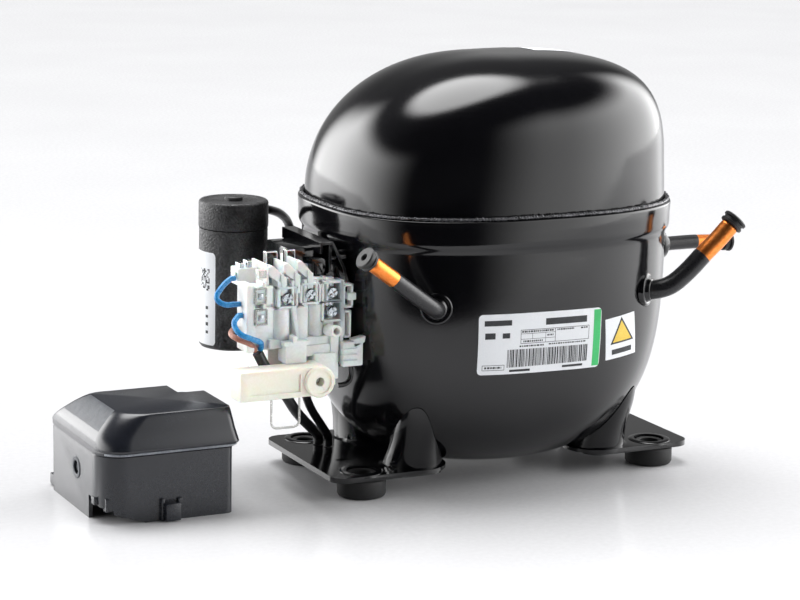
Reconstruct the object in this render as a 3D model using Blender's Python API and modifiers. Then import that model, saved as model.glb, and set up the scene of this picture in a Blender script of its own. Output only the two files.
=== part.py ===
# Hermetic reciprocating compressor for refrigeration, with its electrical kit and the loose terminal cover.
# X runs along the shell's long axis, Y is its depth and Z is up; the feet stand on Z = 0.
# Sizes below are in millimetres and MM turns them into metres.
import math

import bmesh
import bpy
from mathutils import Matrix, Vector

MM = 0.001
FIT = 0.3                       # gap between neighbours that touch
RUN = 0.1                       # radial gap of a running fit
MERGE = 0.00001                 # merge distance of the turned pieces, in metres

# Shell: two deep-drawn steel halves, the upper one seated inside the lower one's rim
WALL = 2.7
SHELL_HALF_X = 93.1
SHELL_HALF_Y = 75.3
SHELL_SQUARENESS = 2.7
BOWL_SQUARENESS = 1.95
BOWL_BOTTOM_Z = 8.2
BOWL_CURVE = (3.25, 3.63)
NECK_Z = 127.0
RIM_LOW_Z = 131.0
RIM_TOP_Z = 144.0
RIM_PROUD = 1.8
DOME_TOP_Z = 218.8
DOME_CURVE = (2.89, 0.87, 2.98, 0.78)
DOME_SQUARENESS = 2.6
DOME_LEAN = 2.1
SKIRT_DEPTH = 9.0
SHELL_STEPS = 40
SEAM_RADIUS = 1.4

# Base plates, legs and rubber feet
FOOT_PITCH_X = 170.0
FOOT_PITCH_Y = 70.0
FOOT_RADIUS = 12.5
FOOT_HEIGHT = 9.3
FOOT_BORE_RADIUS = 5.0
PLATE_THICKNESS = 2.8
PLATE_HOLE_RADIUS = 8.0
PLATE_OUTER_X = 104.3
PLATE_INNER_X = 42.3
PLATE_HALF_Y = 46.2
PLATE_CORNER = 8.0
LEG_X = 54.0
LEG_Y = 29.5
LEG_RADIUS = 12.5
LEG_TOP_Z = 46.0
LEG_SPREAD_X = 3.0
LEG_SPREAD_Y = 15.5

# Tube stubs: the exit on the shell, the outward direction there, the free end and the radius
SUCTION = dict(inside=(53.3, -53.8, 101), exit=(64.5, -66.6, 101.5), bend=(79, -71, 105), end=(104.5, -74, 133.5),
               radius=4.8)
DISCHARGE = dict(inside=(79, -33.6, 118), exit=(91.5, -34, 118), bend=(108, -34.4, 118.3), end=(125.5, -35, 117.5),
                 radius=3.6)
PROCESS = dict(inside=(-54.5, -54, 100.3), exit=(-61, -67.6, 100.4), bend=(-65, -74, 102),
               end=(-102.5, -79.1, 128.9), radius=4.0)
TUBE_BORE_DEPTH = 12.0
TUBE_WALL = 0.9
PLUG_CAP_LENGTH = 5.0
PLUG_CAP_PROUD = 1.5

# Electrical kit on the -X end
HEADER_Y = -8.0
HEADER_Z = 92.0
HEADER_RADIUS = 14.0
PIN_CIRCLE = 6.5
PIN_RADIUS = 1.2
FENCE_X = -101.6
FENCE_THICKNESS = 1.5
FENCE_Y = (-28.0, 18.1)
FENCE_Z = (62.0, 130.5)
BOARD_X = (-149.0, -102.0)
BOARD_Y = (-36.0, 14.0)
BOARD_Z = (58.0, 113.0)
BOARD_WALL = 2.6
STEP_Z = 126.5
STEP_FRONT_Y = -22.0
CABLE_SLOT_Z = 79.0
CABLE_SLOT_Y = -28.5
SHEATH_SLOT_Z = 88.0
RELAY_X = (-120.0, -103.0)
RELAY_Y = (-20.0, 9.0)
RELAY_Z = (113.3, 128.0)
SCREW_RADIUS = 3.0
SCREW_LENGTH = 3.0
WING_X = -91.5
WING_Y = -30.5
WING_Z = (76.0, 112.0)
CATCH_Z = (81.0, 95.0, 98.0, 109.0)
SCREW_PLACES = ((-127.2, 105.0), (-114.8, 106.2), (-103.0, 106.2), (-103.0, 96.4))
LUG_PLACES = ((-142.1, 107.0), (-141.7, 96.3))
BOARD_DEEP_X = -127.0
OVERLOAD_X = (-123.8, -112.0)
CLAMP_X = (-158.0, -105.5)
CLAMP_Y = (-52.0, -36.3)
CLAMP_Z = (57.0, 73.0)
CLAMP_BOSS_X = -116.0
CLAMP_SCREW_RADIUS = 2.6
BAIL_X = (-138.5, -123.5)
BAIL_DROP = 14.5
BAIL_RADIUS = 0.6
BAIL_Y = -43.0

# Run capacitor
CAP_X = -125.8
CAP_RADIUS = 18.0
CAP_Z = (66.0, 142.8)
CAP_LID_Z = 128.5
STRAP_Z = (84.0, 94.0)
STRAP_THICKNESS = 1.6
CAP_Y = FENCE_Y[1] + FIT + STRAP_THICKNESS + CAP_RADIUS

# Leads, as radii
WIRE_RADIUS = 1.4
SHEATH_RADIUS = 2.7

# Loose terminal cover, standing on the floor beside the compressor
COVER_X = (-226.0, -157.0)
COVER_Y = (-40.5, 35.0)
COVER_LIP_Z = 35.5
COVER_TOP_Z = 53.8
COVER_WALL = 2.0
COVER_LIP = 5.0
COVER_TOP_BACK_Y = 14.0
COVER_TOP_LEFT_X = -214.0
COVER_SHOULDER_Z = 44.5
COVER_SCREW_RADIUS = 3.4

# Pump unit hung on springs inside the shell
CRANK_X = -12.0
ECCENTRIC = 9.0
PLUG_RADIUS = 1.5
SHAFT_RADIUS = 8.0
PIN_JOURNAL_RADIUS = 8.0
STACK_Z = (36.0, 84.0)
STATOR_RADIUS = 52.0
ROTOR_RADIUS = 28.0
AIR_GAP = 0.7
SPRING_PITCH = 32.5
SPRING_RADIUS = 5.5
SPRING_WIRE = 1.0
SPRING_Z = (26.0, 35.7)
SEAT_RADIUS = 6.5
DECK_Z = (100.0, 112.0)
DECK_RADIUS = 50.0
WEB_Z = (112.8, 119.5)
BORE_RADIUS = 13.0
BORE_Z = 130.0
BLOCK_SIDE = 22.0
YOKE_THICKNESS = 14.0
YOKE_FRAME = 5.0
CYLINDER_X = (15.5, 44.0)
CROWN_TDC_X = 42.0
PISTON_LENGTH = 20.0
HEAD_HALF_Y = 21.0
HEAD_Z = (111.0, 150.0)
VALVE_PLATE = 3.0
HEAD_DEPTH = 14.0
REED = (0.5, 4.0, 17.0)


def material(name, colour, roughness, metallic=0.0):
    mat = bpy.data.materials.new(name)
    mat.use_nodes = True
    shader = mat.node_tree.nodes["Principled BSDF"]
    shader.inputs["Base Color"].default_value = (*colour, 1.0)
    shader.inputs["Roughness"].default_value = roughness
    shader.inputs["Metallic"].default_value = metallic
    return mat


def clear_scene():
    for obj in list(bpy.data.objects):
        bpy.data.objects.remove(obj, do_unlink=True)


def collection(name):
    made = bpy.data.collections.new(name)
    bpy.context.scene.collection.children.link(made)
    return made


clear_scene()
PARTS = collection("hermetic_compressor")
CUTTERS = collection("cutters")

ROOT = bpy.data.objects.new("frame_origin", None)
PARTS.objects.link(ROOT)

BLACK_PAINT = ((0.012, 0.012, 0.014), 0.12)
RUBBER = ((0.02, 0.02, 0.02), 0.7)
IVORY = ((0.80, 0.79, 0.73), 0.4)
DARK_PLASTIC = ((0.03, 0.035, 0.045), 0.35)
STEEL = ((0.55, 0.55, 0.57), 0.35, 1.0)
ZINC = ((0.70, 0.72, 0.74), 0.3, 1.0)
COPPER = ((0.80, 0.36, 0.16), 0.3, 1.0)
IRON = ((0.20, 0.20, 0.21), 0.6, 1.0)


def finish_mesh(obj, angle=40.0):
    obj.data.shade_smooth()
    obj.data.set_sharp_from_angle(angle=math.radians(angle))


def place(name, mesh, look, parent=None, cutter=False):
    obj = bpy.data.objects.new(name, mesh)
    obj.parent = parent or ROOT
    if cutter:
        CUTTERS.objects.link(obj)
        obj.hide_render = True
        obj.display_type = "WIRE"
        return obj
    PARTS.objects.link(obj)
    mesh.materials.append(material(name + "_finish", *look))
    if isinstance(mesh, bpy.types.Mesh):
        finish_mesh(obj)
    return obj


def from_bmesh(name, bm, look=None, parent=None):
    bm.normal_update()
    bmesh.ops.recalc_face_normals(bm, faces=bm.faces)
    mesh = bpy.data.meshes.new(name)
    bm.to_mesh(mesh)
    bm.free()
    return place(name, mesh, look, parent, cutter=look is None)


def box(name, x, y, z, look=None, parent=None, bevel=0.0):
    bm = bmesh.new()
    bmesh.ops.create_cube(bm, size=1.0)
    size = Vector((x[1] - x[0], y[1] - y[0], z[1] - z[0])) * MM
    middle = Vector((x[0] + x[1], y[0] + y[1], z[0] + z[1])) * MM / 2
    bmesh.ops.scale(bm, vec=size, verts=bm.verts)
    if bevel:
        bmesh.ops.bevel(bm, geom=bm.edges[:], offset=bevel * MM, segments=1, affect="EDGES")
    bmesh.ops.translate(bm, vec=middle, verts=bm.verts)
    return from_bmesh(name, bm, look, parent)


def towards(direction):
    return Vector(direction).to_track_quat("Z", "Y").to_matrix().to_4x4()


def rod(name, start, end, radius, look=None, parent=None, sides=24):
    start = Vector(start) * MM
    end = Vector(end) * MM
    bm = bmesh.new()
    bmesh.ops.create_cone(bm, cap_ends=True, segments=sides, radius1=radius * MM, radius2=radius * MM,
                          depth=(end - start).length)
    bm.transform(Matrix.Translation((start + end) / 2) @ towards(end - start))
    return from_bmesh(name, bm, look, parent)


def turned(name, profile, look=None, at=(0, 0, 0), axis=(0, 0, 1), parent=None, steps=32, ring=False):
    """profile: (radius, height) points running down the outer side, from the top."""
    mesh = bpy.data.meshes.new(name)
    points = [(r * MM, 0.0, h * MM) for r, h in profile]
    edges = [(i, i + 1) for i in range(len(points) - 1)]
    if ring:
        edges.append((len(points) - 1, 0))
    mesh.from_pydata(points, edges, [])
    obj = place(name, mesh, look, parent, cutter=look is None)
    obj.matrix_local = Matrix.Translation(Vector(at) * MM) @ towards(axis)
    screw = obj.modifiers.new("turn", "SCREW")
    screw.steps = steps
    screw.render_steps = steps
    screw.use_merge_vertices = True
    screw.merge_threshold = MERGE
    screw.use_smooth_shade = True
    return obj


def boolean(obj, other, operation):
    mod = obj.modifiers.new(operation.lower(), "BOOLEAN")
    mod.operation = operation
    mod.object = other
    mod.solver = "EXACT"
    return obj


def cut(obj, *cutters):
    for other in cutters:
        boolean(obj, other, "DIFFERENCE")
    return obj


def join(obj, *others):
    for other in others:
        boolean(obj, other, "UNION")
    return obj


def ring_loft(rings, close_start=False, close_end=False):
    """Skin of quads between rings with equal counts of points; a closed end is one flat face."""
    bm = bmesh.new()
    loops = [[bm.verts.new(Vector(p) * MM) for p in ring] for ring in rings]
    count = len(loops[0])
    for low, high in zip(loops, loops[1:]):
        for i in range(count):
            j = (i + 1) % count
            bm.faces.new((low[i], low[j], high[j], high[i]))
    if close_start:
        bm.faces.new(list(reversed(loops[0])))
    if close_end:
        bm.faces.new(loops[-1])
    return bm


def smooth_path(knots, per_span=4):
    """Points on a smooth curve through the knots, leaving each end along its first and last chord."""
    pts = [Vector(k) for k in knots]
    ways = [(pts[1] - pts[0]).normalized()]
    ways += [(after - before).normalized() for before, after in zip(pts, pts[2:])]
    ways.append((pts[-1] - pts[-2]).normalized())
    out = []
    for i in range(len(pts) - 1):
        chord = (pts[i + 1] - pts[i]).length
        for k in range(per_span):
            t = k / per_span
            out.append(pts[i] * (2 * t ** 3 - 3 * t * t + 1) + pts[i + 1] * (3 * t * t - 2 * t ** 3)
                       + ways[i] * chord * (t ** 3 - 2 * t * t + t) + ways[i + 1] * chord * (t ** 3 - t * t))
    out.append(pts[-1])
    return out


def wire(name, points, radius, look, parent=None, resolution=2):
    curve = bpy.data.curves.new(name, "CURVE")
    curve.dimensions = "3D"
    spline = curve.splines.new("POLY")
    spline.points.add(len(points) - 1)
    for target, p in zip(spline.points, points):
        target.co = (*(Vector(p) * MM), 1.0)
    curve.bevel_depth = radius * MM
    curve.bevel_resolution = resolution
    curve.use_fill_caps = True
    return place(name, curve, look, parent)


def curve_as_mesh(obj):
    """The same tube as a closed mesh, so that it can be cut."""
    depsgraph = bpy.context.evaluated_depsgraph_get()
    mesh = bpy.data.meshes.new_from_object(obj.evaluated_get(depsgraph))
    bm = bmesh.new()
    bm.from_mesh(mesh)
    bmesh.ops.remove_doubles(bm, verts=bm.verts, dist=MERGE)
    bmesh.ops.recalc_face_normals(bm, faces=bm.faces)
    bm.to_mesh(mesh)
    bm.free()
    name = obj.name
    matrix = obj.matrix_world.copy()
    parent = obj.parent
    bpy.data.objects.remove(obj, do_unlink=True)
    made = bpy.data.objects.new(name, mesh)
    PARTS.objects.link(made)
    made.parent = parent
    made.matrix_world = matrix
    finish_mesh(made)
    return made


def outline(half_x, half_y, squareness, z, centre_x=0.0, count=SHELL_STEPS):
    """Superellipse ring."""
    ring = []
    for i in range(count):
        c = math.cos(2 * math.pi * i / count)
        s = math.sin(2 * math.pi * i / count)
        x = half_x * math.copysign(abs(c) ** (2 / squareness), c)
        y = half_y * math.copysign(abs(s) ** (2 / squareness), s)
        ring.append((x + centre_x, y, z))
    return ring


def bowl_scale(z):
    """Share of the full outline that the bowl keeps at height z."""
    fall = (RIM_LOW_Z - z) / (RIM_LOW_Z - BOWL_BOTTOM_Z)
    power, root = BOWL_CURVE
    return max(0.0, 1 - max(0.0, fall) ** power) ** (1 / root)


def bowl_rings(grow=0.0, top=NECK_Z, levels=9):
    """Bowl from its flat bottom up; it is nearly elliptical below and squarer at the rim."""
    rings = []
    for i in range(levels):
        z = BOWL_BOTTOM_Z + (top - BOWL_BOTTOM_Z) * (1 - math.cos(math.pi / 2 * (i + 0.35) / levels))
        share = bowl_scale(z)
        depth = (RIM_LOW_Z - z) / (RIM_LOW_Z - BOWL_BOTTOM_Z)
        squareness = SHELL_SQUARENESS + (BOWL_SQUARENESS - SHELL_SQUARENESS) * depth ** 4
        rings.append(outline(SHELL_HALF_X * share + grow, SHELL_HALF_Y * share + grow, squareness, z - grow / 2))
    rings.append(outline(SHELL_HALF_X + grow, SHELL_HALF_Y + grow, SHELL_SQUARENESS, top))
    return rings


def solidify(obj, thickness):
    mod = obj.modifiers.new("wall", "SOLIDIFY")
    mod.thickness = thickness * MM
    mod.offset = -1.0
    mod.use_even_offset = True
    return obj


def tube_way(tube, grow):
    """Straight cylinder through the shell wall round a tube's exit."""
    inside = Vector(tube["inside"])
    outward = (Vector(tube["exit"]) - inside).normalized()
    return rod("tube_way", inside - outward * 6, Vector(tube["exit"]) + outward * 2, tube["radius"] + grow)


def spring_places():
    return [(CRANK_X + sx * SPRING_PITCH, sy * SPRING_PITCH) for sx in (-1, 1) for sy in (-1, 1)]


def lower_shell():
    rings = bowl_rings()
    proud_x = SHELL_HALF_X + RIM_PROUD
    proud_y = SHELL_HALF_Y + RIM_PROUD
    rings.append(outline(proud_x, proud_y, SHELL_SQUARENESS, RIM_LOW_Z))
    rings.append(outline(proud_x, proud_y, SHELL_SQUARENESS, RIM_TOP_Z))
    obj = from_bmesh("lower_shell", ring_loft(rings, close_start=True), BLACK_PAINT)
    solidify(obj, WALL)
    header_way = rod("header_way", (-SHELL_HALF_X - 8, HEADER_Y, HEADER_Z), (-SHELL_HALF_X + 12, HEADER_Y, HEADER_Z),
                     HEADER_RADIUS + FIT)
    cut(obj, header_way, *[tube_way(tube, FIT) for tube in (SUCTION, DISCHARGE, PROCESS)])
    within = from_bmesh("bowl_within", ring_loft(bowl_rings(grow=-1.0), True, True))
    for x, y in spring_places():
        seat = rod("spring_seat", (x, y, BOWL_BOTTOM_Z), (x, y, SPRING_Z[0] - FIT), SEAT_RADIUS, sides=16)
        join(obj, boolean(seat, within, "INTERSECT"))
    return obj


def dome_rings():
    """Ring by ring: upright sides, then a crown that falls away more gently towards -X."""
    half_x = SHELL_HALF_X + RIM_PROUD - WALL - FIT
    half_y = SHELL_HALF_Y + RIM_PROUD - WALL - FIT
    base = RIM_TOP_Z + 4.0
    p0, p1, q0, q1 = DOME_CURVE
    rings = [outline(half_x, half_y, SHELL_SQUARENESS, RIM_TOP_Z - SKIRT_DEPTH)]
    levels = 9
    for k in range(levels):
        u = math.sin(math.pi / 2 * k / (levels - 0.6))
        ring = []
        full = outline(half_x, half_y, DOME_SQUARENESS if k else SHELL_SQUARENESS, base + (DOME_TOP_Z - base) * u)
        for i, (x, y, z) in enumerate(full):
            c = math.cos(2 * math.pi * i / len(full))
            share = max(0.0, 1 - u ** (p0 + p1 * c)) ** (1 / (q0 + q1 * c))
            ring.append((DOME_LEAN * u * u + x * share, y * share, z))
        rings.append(ring)
    return rings


def upper_shell():
    return solidify(from_bmesh("upper_shell", ring_loft(dome_rings(), close_end=True), BLACK_PAINT), WALL)


def weld_seam():
    middle = SHELL_HALF_X + RIM_PROUD - WALL / 2 + 0.9
    middle_y = middle - SHELL_HALF_X + SHELL_HALF_Y
    height = RIM_TOP_Z + FIT + SEAM_RADIUS
    sides = 6
    rings = []
    for k in range(sides):
        a = 2 * math.pi * k / sides
        reach = SEAM_RADIUS * math.cos(a)
        rings.append(outline(middle + reach, middle_y + reach, SHELL_SQUARENESS, height + SEAM_RADIUS * math.sin(a)))
    bm = ring_loft(rings + rings[:1])
    bmesh.ops.remove_doubles(bm, verts=bm.verts, dist=MERGE)
    return from_bmesh("weld_seam", bm, BLACK_PAINT)


def rounded_outline(x, y, radius, per_corner=4):
    points = []
    corners = ((x[1] - radius, y[1] - radius, 0), (x[0] + radius, y[1] - radius, 90),
               (x[0] + radius, y[0] + radius, 180), (x[1] - radius, y[0] + radius, 270))
    for cx, cy, start in corners:
        for k in range(per_corner + 1):
            a = math.radians(start + 90 * k / per_corner)
            points.append((cx + radius * math.cos(a), cy + radius * math.sin(a)))
    return points


def leg_rings(side_x, side_y, shrink, low):
    """Pressed leg: a column that leans outwards and closes in a shoulder inside the bowl."""
    radius = LEG_RADIUS - shrink
    stations = [(low + (LEG_TOP_Z - low) * t, t, radius) for t in (0, 0.33, 0.67, 1)]
    stations.append((LEG_TOP_Z + radius * 0.4, 0.85, radius * 0.85))
    stations.append((LEG_TOP_Z + radius * 0.7, 0.5, radius * 0.45))
    rings = []
    for z, lean, size in stations:
        cx = side_x * (LEG_X + LEG_SPREAD_X * lean)
        cy = side_y * (LEG_Y + LEG_SPREAD_Y * lean)
        rings.append([(cx + size * math.cos(a), cy + size * math.sin(a), z)
                      for a in [2 * math.pi * i / 24 for i in range(24)]])
    return rings


def base_plate(name, side):
    top = FOOT_HEIGHT + FIT + PLATE_THICKNESS
    x = sorted((side * PLATE_OUTER_X, side * PLATE_INNER_X))
    flat = rounded_outline(x, (-PLATE_HALF_Y, PLATE_HALF_Y), PLATE_CORNER)
    obj = from_bmesh(name, ring_loft([[(px, py, z) for px, py in flat] for z in (top - PLATE_THICKNESS, top)],
                                     close_start=True, close_end=True), BLACK_PAINT)
    legs = [from_bmesh("leg", ring_loft(leg_rings(side, s, 0, top - PLATE_THICKNESS / 2), True, True))
            for s in (-1, 1)]
    hollows = [from_bmesh("leg_hollow", ring_loft(leg_rings(side, s, PLATE_THICKNESS, top - PLATE_THICKNESS * 2),
                                                  True, True)) for s in (-1, 1)]
    shell_space = from_bmesh("shell_space", ring_loft(bowl_rings(grow=FIT * 2, top=NECK_Z), True, True))
    join(obj, *legs)
    cut(obj, *hollows, shell_space)
    for s in (-1, 1):
        at = (side * FOOT_PITCH_X / 2, s * FOOT_PITCH_Y / 2)
        cut(obj, rod("foot_hole", (*at, top - 2 * PLATE_THICKNESS), (*at, top + PLATE_THICKNESS), PLATE_HOLE_RADIUS))
    return obj


def rubber_foot(name, side_x, side_y):
    neck = PLATE_HOLE_RADIUS - FIT
    top = FOOT_HEIGHT + FIT + PLATE_THICKNESS - 0.5
    chamfer = 1.0
    profile = [(neck, top), (neck, FOOT_HEIGHT), (FOOT_RADIUS, FOOT_HEIGHT), (FOOT_RADIUS, chamfer),
               (FOOT_RADIUS - chamfer, 0), (FOOT_BORE_RADIUS, 0), (FOOT_BORE_RADIUS, top)]
    return turned(name, profile, RUBBER, at=(side_x * FOOT_PITCH_X / 2, side_y * FOOT_PITCH_Y / 2, 0), ring=True,
                  steps=24)


def tube_stub(name, tube):
    """Steel-coloured stub: straight through the wall, one bend, straight to its bored free end."""
    inside = Vector(tube["inside"])
    exit_at = Vector(tube["exit"])
    bend = Vector(tube["bend"])
    end = Vector(tube["end"])
    straight = exit_at + (exit_at - inside).normalized() * 2.5
    after = bend + (end - bend) * 0.12
    points = [inside, exit_at]
    for k in range(7):
        t = k / 6
        points.append(straight * (1 - t) ** 2 + bend * 2 * t * (1 - t) + after * t * t)
    points.append(end)
    obj = curve_as_mesh(wire(name, points, tube["radius"], BLACK_PAINT))
    along = (end - bend).normalized()
    return cut(obj, rod("tube_bore", end - along * TUBE_BORE_DEPTH, end + along * 2, tube["radius"] - TUBE_WALL,
                        sides=16))


def tube_plug(name, tube):
    """Rubber plug: a cap over the tube's end face and a stem in its bore."""
    end = Vector(tube["end"])
    along = (end - Vector(tube["bend"])).normalized()
    cap = tube["radius"] + PLUG_CAP_PROUD
    stem = tube["radius"] - TUBE_WALL - FIT
    face = FIT + PLUG_CAP_LENGTH
    foot = 1.5 - TUBE_BORE_DEPTH
    profile = [(0, face - 3.0), (1.6, face - 3.0), (1.6, face), (cap - 0.6, face), (cap, face - 0.8),
               (cap - 0.5, FIT), (stem, FIT), (stem, foot), (0, foot)]
    return turned(name, profile, RUBBER, at=end, axis=along, steps=20)


def terminal_header():
    """Steel cup welded in the shell, with three glass-sealed pins."""
    face = -SHELL_HALF_X - 1.5
    obj = rod("terminal_header", (face, HEADER_Y, HEADER_Z), (-SHELL_HALF_X + WALL + 4, HEADER_Y, HEADER_Z),
              HEADER_RADIUS, STEEL)
    pins = []
    for angle in (90, 210, 330):
        y = HEADER_Y + PIN_CIRCLE * math.cos(math.radians(angle))
        z = HEADER_Z + PIN_CIRCLE * math.sin(math.radians(angle))
        pins.append(rod("pin", (face - 14, y, z), (face + 4, y, z), PIN_RADIUS, sides=12))
    return join(obj, *pins)


def terminal_fence():
    """Sheet steel frame round the header, with standoffs to the shell and a lip above the board."""
    plate = (FENCE_X, FENCE_X + FENCE_THICKNESS)
    obj = box("terminal_fence", plate, FENCE_Y, FENCE_Z, BLACK_PAINT)
    lip = box("lip", (FENCE_X - 5, FENCE_X + 0.2), FENCE_Y, (FENCE_Z[1] - FENCE_THICKNESS, FENCE_Z[1]))
    window = box("window", (FENCE_X - 3, FENCE_X + 4), (HEADER_Y - 15, HEADER_Y + 15), (HEADER_Z - 15, HEADER_Z + 15))
    standoffs = [box("standoff", (FENCE_X + 0.2, -SHELL_HALF_X + 1), (y, y + 5), (z, z + 3))
                 for y in (-16, 6) for z in (68, 118)]
    shell_space = from_bmesh("shell_space_2", ring_loft(bowl_rings(grow=FIT * 2, top=NECK_Z), True, True))
    return cut(join(obj, lip, *standoffs), window, shell_space)


def terminal_board():
    """Moulded body, open towards the shell, with a shallow left end, a raised back row and a recess for the cable."""
    obj = box("terminal_board", BOARD_X, BOARD_Y, BOARD_Z, IVORY)
    row = box("row", BOARD_X, (STEP_FRONT_Y, BOARD_Y[1]), (BOARD_Z[1] - 1, STEP_Z))
    wing = box("wing", (BOARD_X[1] - 4, WING_X), (BOARD_Y[0], WING_Y), WING_Z)
    boss = rod("boss", (-104.4, BOARD_Y[0] - 9, 87.0), (-104.4, BOARD_Y[0] + 2, 87.0), 3.0, sides=16)
    inner_y = (BOARD_Y[0] + BOARD_WALL + 8, BOARD_Y[1] - BOARD_WALL)
    roof_z = BOARD_Z[1] - BOARD_WALL
    cavity = box("cavity", (BOARD_DEEP_X + BOARD_WALL, BOARD_X[1] + 5), inner_y, (BOARD_Z[0] + BOARD_WALL, roof_z))
    left_way = box("left_way", (BOARD_X[0] - 5, BOARD_DEEP_X), (BOARD_Y[0] + 13, BOARD_Y[1] + 5),
                   (BOARD_Z[0] - 5, roof_z))
    row_way = box("row_way", (BOARD_X[0] - 5, BOARD_DEEP_X), (STEP_FRONT_Y + 10, BOARD_Y[1] + 5),
                  (BOARD_Z[0] - 5, STEP_Z + 5))
    slot = box("cable_slot", (BOARD_X[0] - 5, -118), (BOARD_Y[0] - 5, CABLE_SLOT_Y), (BOARD_Z[0] - 5, CABLE_SLOT_Z))
    relay_way = box("relay_way", (RELAY_X[0] - FIT, BOARD_X[1] + 5), (RELAY_Y[0] - FIT, RELAY_Y[1] + FIT),
                    (RELAY_Z[0] - FIT, STEP_Z + 5))
    sheath_slot = box("sheath_slot", (BOARD_X[0] - 5, -133), (BOARD_Y[0] - 5, CABLE_SLOT_Y),
                      (CABLE_SLOT_Z - 5, SHEATH_SLOT_Z))
    catches = [box("catch_way", (-97.5, WING_X - 1.5), (BOARD_Y[0] - 5, WING_Y + 5), CATCH_Z[i:i + 2]) for i in (0, 2)]
    cut(join(obj, row, wing, boss), cavity, left_way, row_way, slot, sheath_slot, relay_way, *catches)
    for x, z in SCREW_PLACES:
        cut(obj, rod("screw_way", (x, BOARD_Y[0] - 5, z), (x, BOARD_Y[0] + SCREW_LENGTH + FIT, z), SCREW_RADIUS + FIT))
    for x, z in LUG_PLACES:
        cut(obj, box("lug_way", (x - 2.6, x + 2.6), (BOARD_Y[0] - 3, BOARD_Y[0] + 2.3), (z - 3.6, z + 3.6)))
    return obj


def start_relay():
    return box("start_relay", RELAY_X, RELAY_Y, RELAY_Z, DARK_PLASTIC, bevel=1.2)


def overload_protector():
    """Round bimetal protector lying in the board's cavity."""
    return rod("overload_protector", (OVERLOAD_X[0], -7, 92), (OVERLOAD_X[1], -7, 92), 11.0, DARK_PLASTIC)


def terminal_screw(number, x, z):
    head = rod("terminal_screw_%d" % number, (x, BOARD_Y[0] - 1.2, z), (x, BOARD_Y[0] + SCREW_LENGTH, z),
               SCREW_RADIUS, ZINC)
    slots = [box("cross", (x - dx, x + dx), (BOARD_Y[0] - 3, BOARD_Y[0] - 0.2), (z - dz, z + dz))
             for dx, dz in ((2.2, 0.45), (0.45, 2.2))]
    return cut(head, *slots)


def terminal_lug(number, x, z):
    """Blade of a push-on tab, standing in its slot."""
    return box("terminal_lug_%d" % number, (x - 2.3, x + 2.3), (BOARD_Y[0] - 2.0, BOARD_Y[0] + 2.0),
               (z - 3.2, z + 3.2), ZINC, bevel=0.8)


def cord_clamp():
    """Bar that presses the cable against the board, with a round boss for its screw."""
    middle = (CLAMP_Z[0] + CLAMP_Z[1]) / 2
    bar = box("cord_clamp", (CLAMP_X[0], CLAMP_BOSS_X), (CLAMP_Y[0] + 2, CLAMP_Y[1]), CLAMP_Z, IVORY, bevel=1.0)
    boss = rod("clamp_boss", (CLAMP_BOSS_X, CLAMP_Y[0], middle), (CLAMP_BOSS_X, CLAMP_Y[1], middle),
               (CLAMP_Z[1] - CLAMP_Z[0]) / 2)
    way = rod("clamp_screw_way", (CLAMP_BOSS_X, CLAMP_Y[0] - 3, middle), (CLAMP_BOSS_X, CLAMP_Y[0] + 9.3, middle),
              CLAMP_SCREW_RADIUS + FIT, sides=16)
    return cut(join(bar, boss), way)


def clamp_screw():
    middle = (CLAMP_Z[0] + CLAMP_Z[1]) / 2
    return rod("clamp_screw", (CLAMP_BOSS_X, CLAMP_Y[0] + 1.5, middle), (CLAMP_BOSS_X, CLAMP_Y[0] + 9, middle),
               CLAMP_SCREW_RADIUS, ZINC, sides=16)


def wire_bail():
    """Loop of clear plastic rod that hangs from the clamp; its pivot runs along X at its upper ends."""
    pivot = bpy.data.objects.new("bail_pivot", None)
    PARTS.objects.link(pivot)
    pivot.parent = ROOT
    pivot.location = Vector(((BAIL_X[0] + BAIL_X[1]) / 2, BAIL_Y, CLAMP_Z[0] - 1.2)) * MM
    half = (BAIL_X[1] - BAIL_X[0]) / 2
    corner = 3.0
    points = [(-half, 0, 0)]
    for side, start in ((-1, 180), (1, 270)):
        for k in range(5):
            a = math.radians(start + 90 * k / 4)
            points.append((side * (half - corner) + corner * math.cos(a), 0, corner - BAIL_DROP + corner * math.sin(a)))
    points.append((half, 0, 0))
    return wire("wire_bail", points, BAIL_RADIUS, ((0.85, 0.85, 0.85), 0.3), parent=pivot)


def capacitor():
    body_top = CAP_LID_Z
    can = [(0, body_top), (CAP_RADIUS - 0.3, body_top), (CAP_RADIUS - 0.3, CAP_Z[0] + 1.5),
           (CAP_RADIUS - 1.8, CAP_Z[0]), (0, CAP_Z[0])]
    turned("capacitor_can", can, DARK_PLASTIC, at=(CAP_X, CAP_Y, 0), steps=36)
    nub = 4.6
    lid = [(0, CAP_Z[1] + 1.5), (nub, CAP_Z[1] + 1.5), (nub, CAP_Z[1]), (CAP_RADIUS - 1, CAP_Z[1]),
           (CAP_RADIUS, CAP_Z[1] - 1), (CAP_RADIUS, body_top + FIT), (0, body_top + FIT)]
    turned("capacitor_lid", lid, DARK_PLASTIC, at=(CAP_X, CAP_Y, 0), steps=36)


def capacitor_bracket():
    """Half band that clips the can from the housing's side, with an arm to the fence."""
    inner = CAP_RADIUS - 0.3 + FIT
    outer = inner + STRAP_THICKNESS
    obj = turned("capacitor_bracket", [(outer, STRAP_Z[1]), (outer, STRAP_Z[0]), (inner, STRAP_Z[0]),
                                       (inner, STRAP_Z[1])], BLACK_PAINT, at=(CAP_X, CAP_Y, 0), steps=36, ring=True)
    arm = box("arm", (CAP_X, FENCE_X + FENCE_THICKNESS), (CAP_Y - outer, CAP_Y - inner), STRAP_Z)
    open_side = box("open_side", (CAP_X - outer - 5, CAP_X + 4), (CAP_Y - outer - 5, CAP_Y + outer + 5),
                    (STRAP_Z[0] - 5, STRAP_Z[1] + 5))
    return cut(join(obj, arm), open_side)


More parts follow.
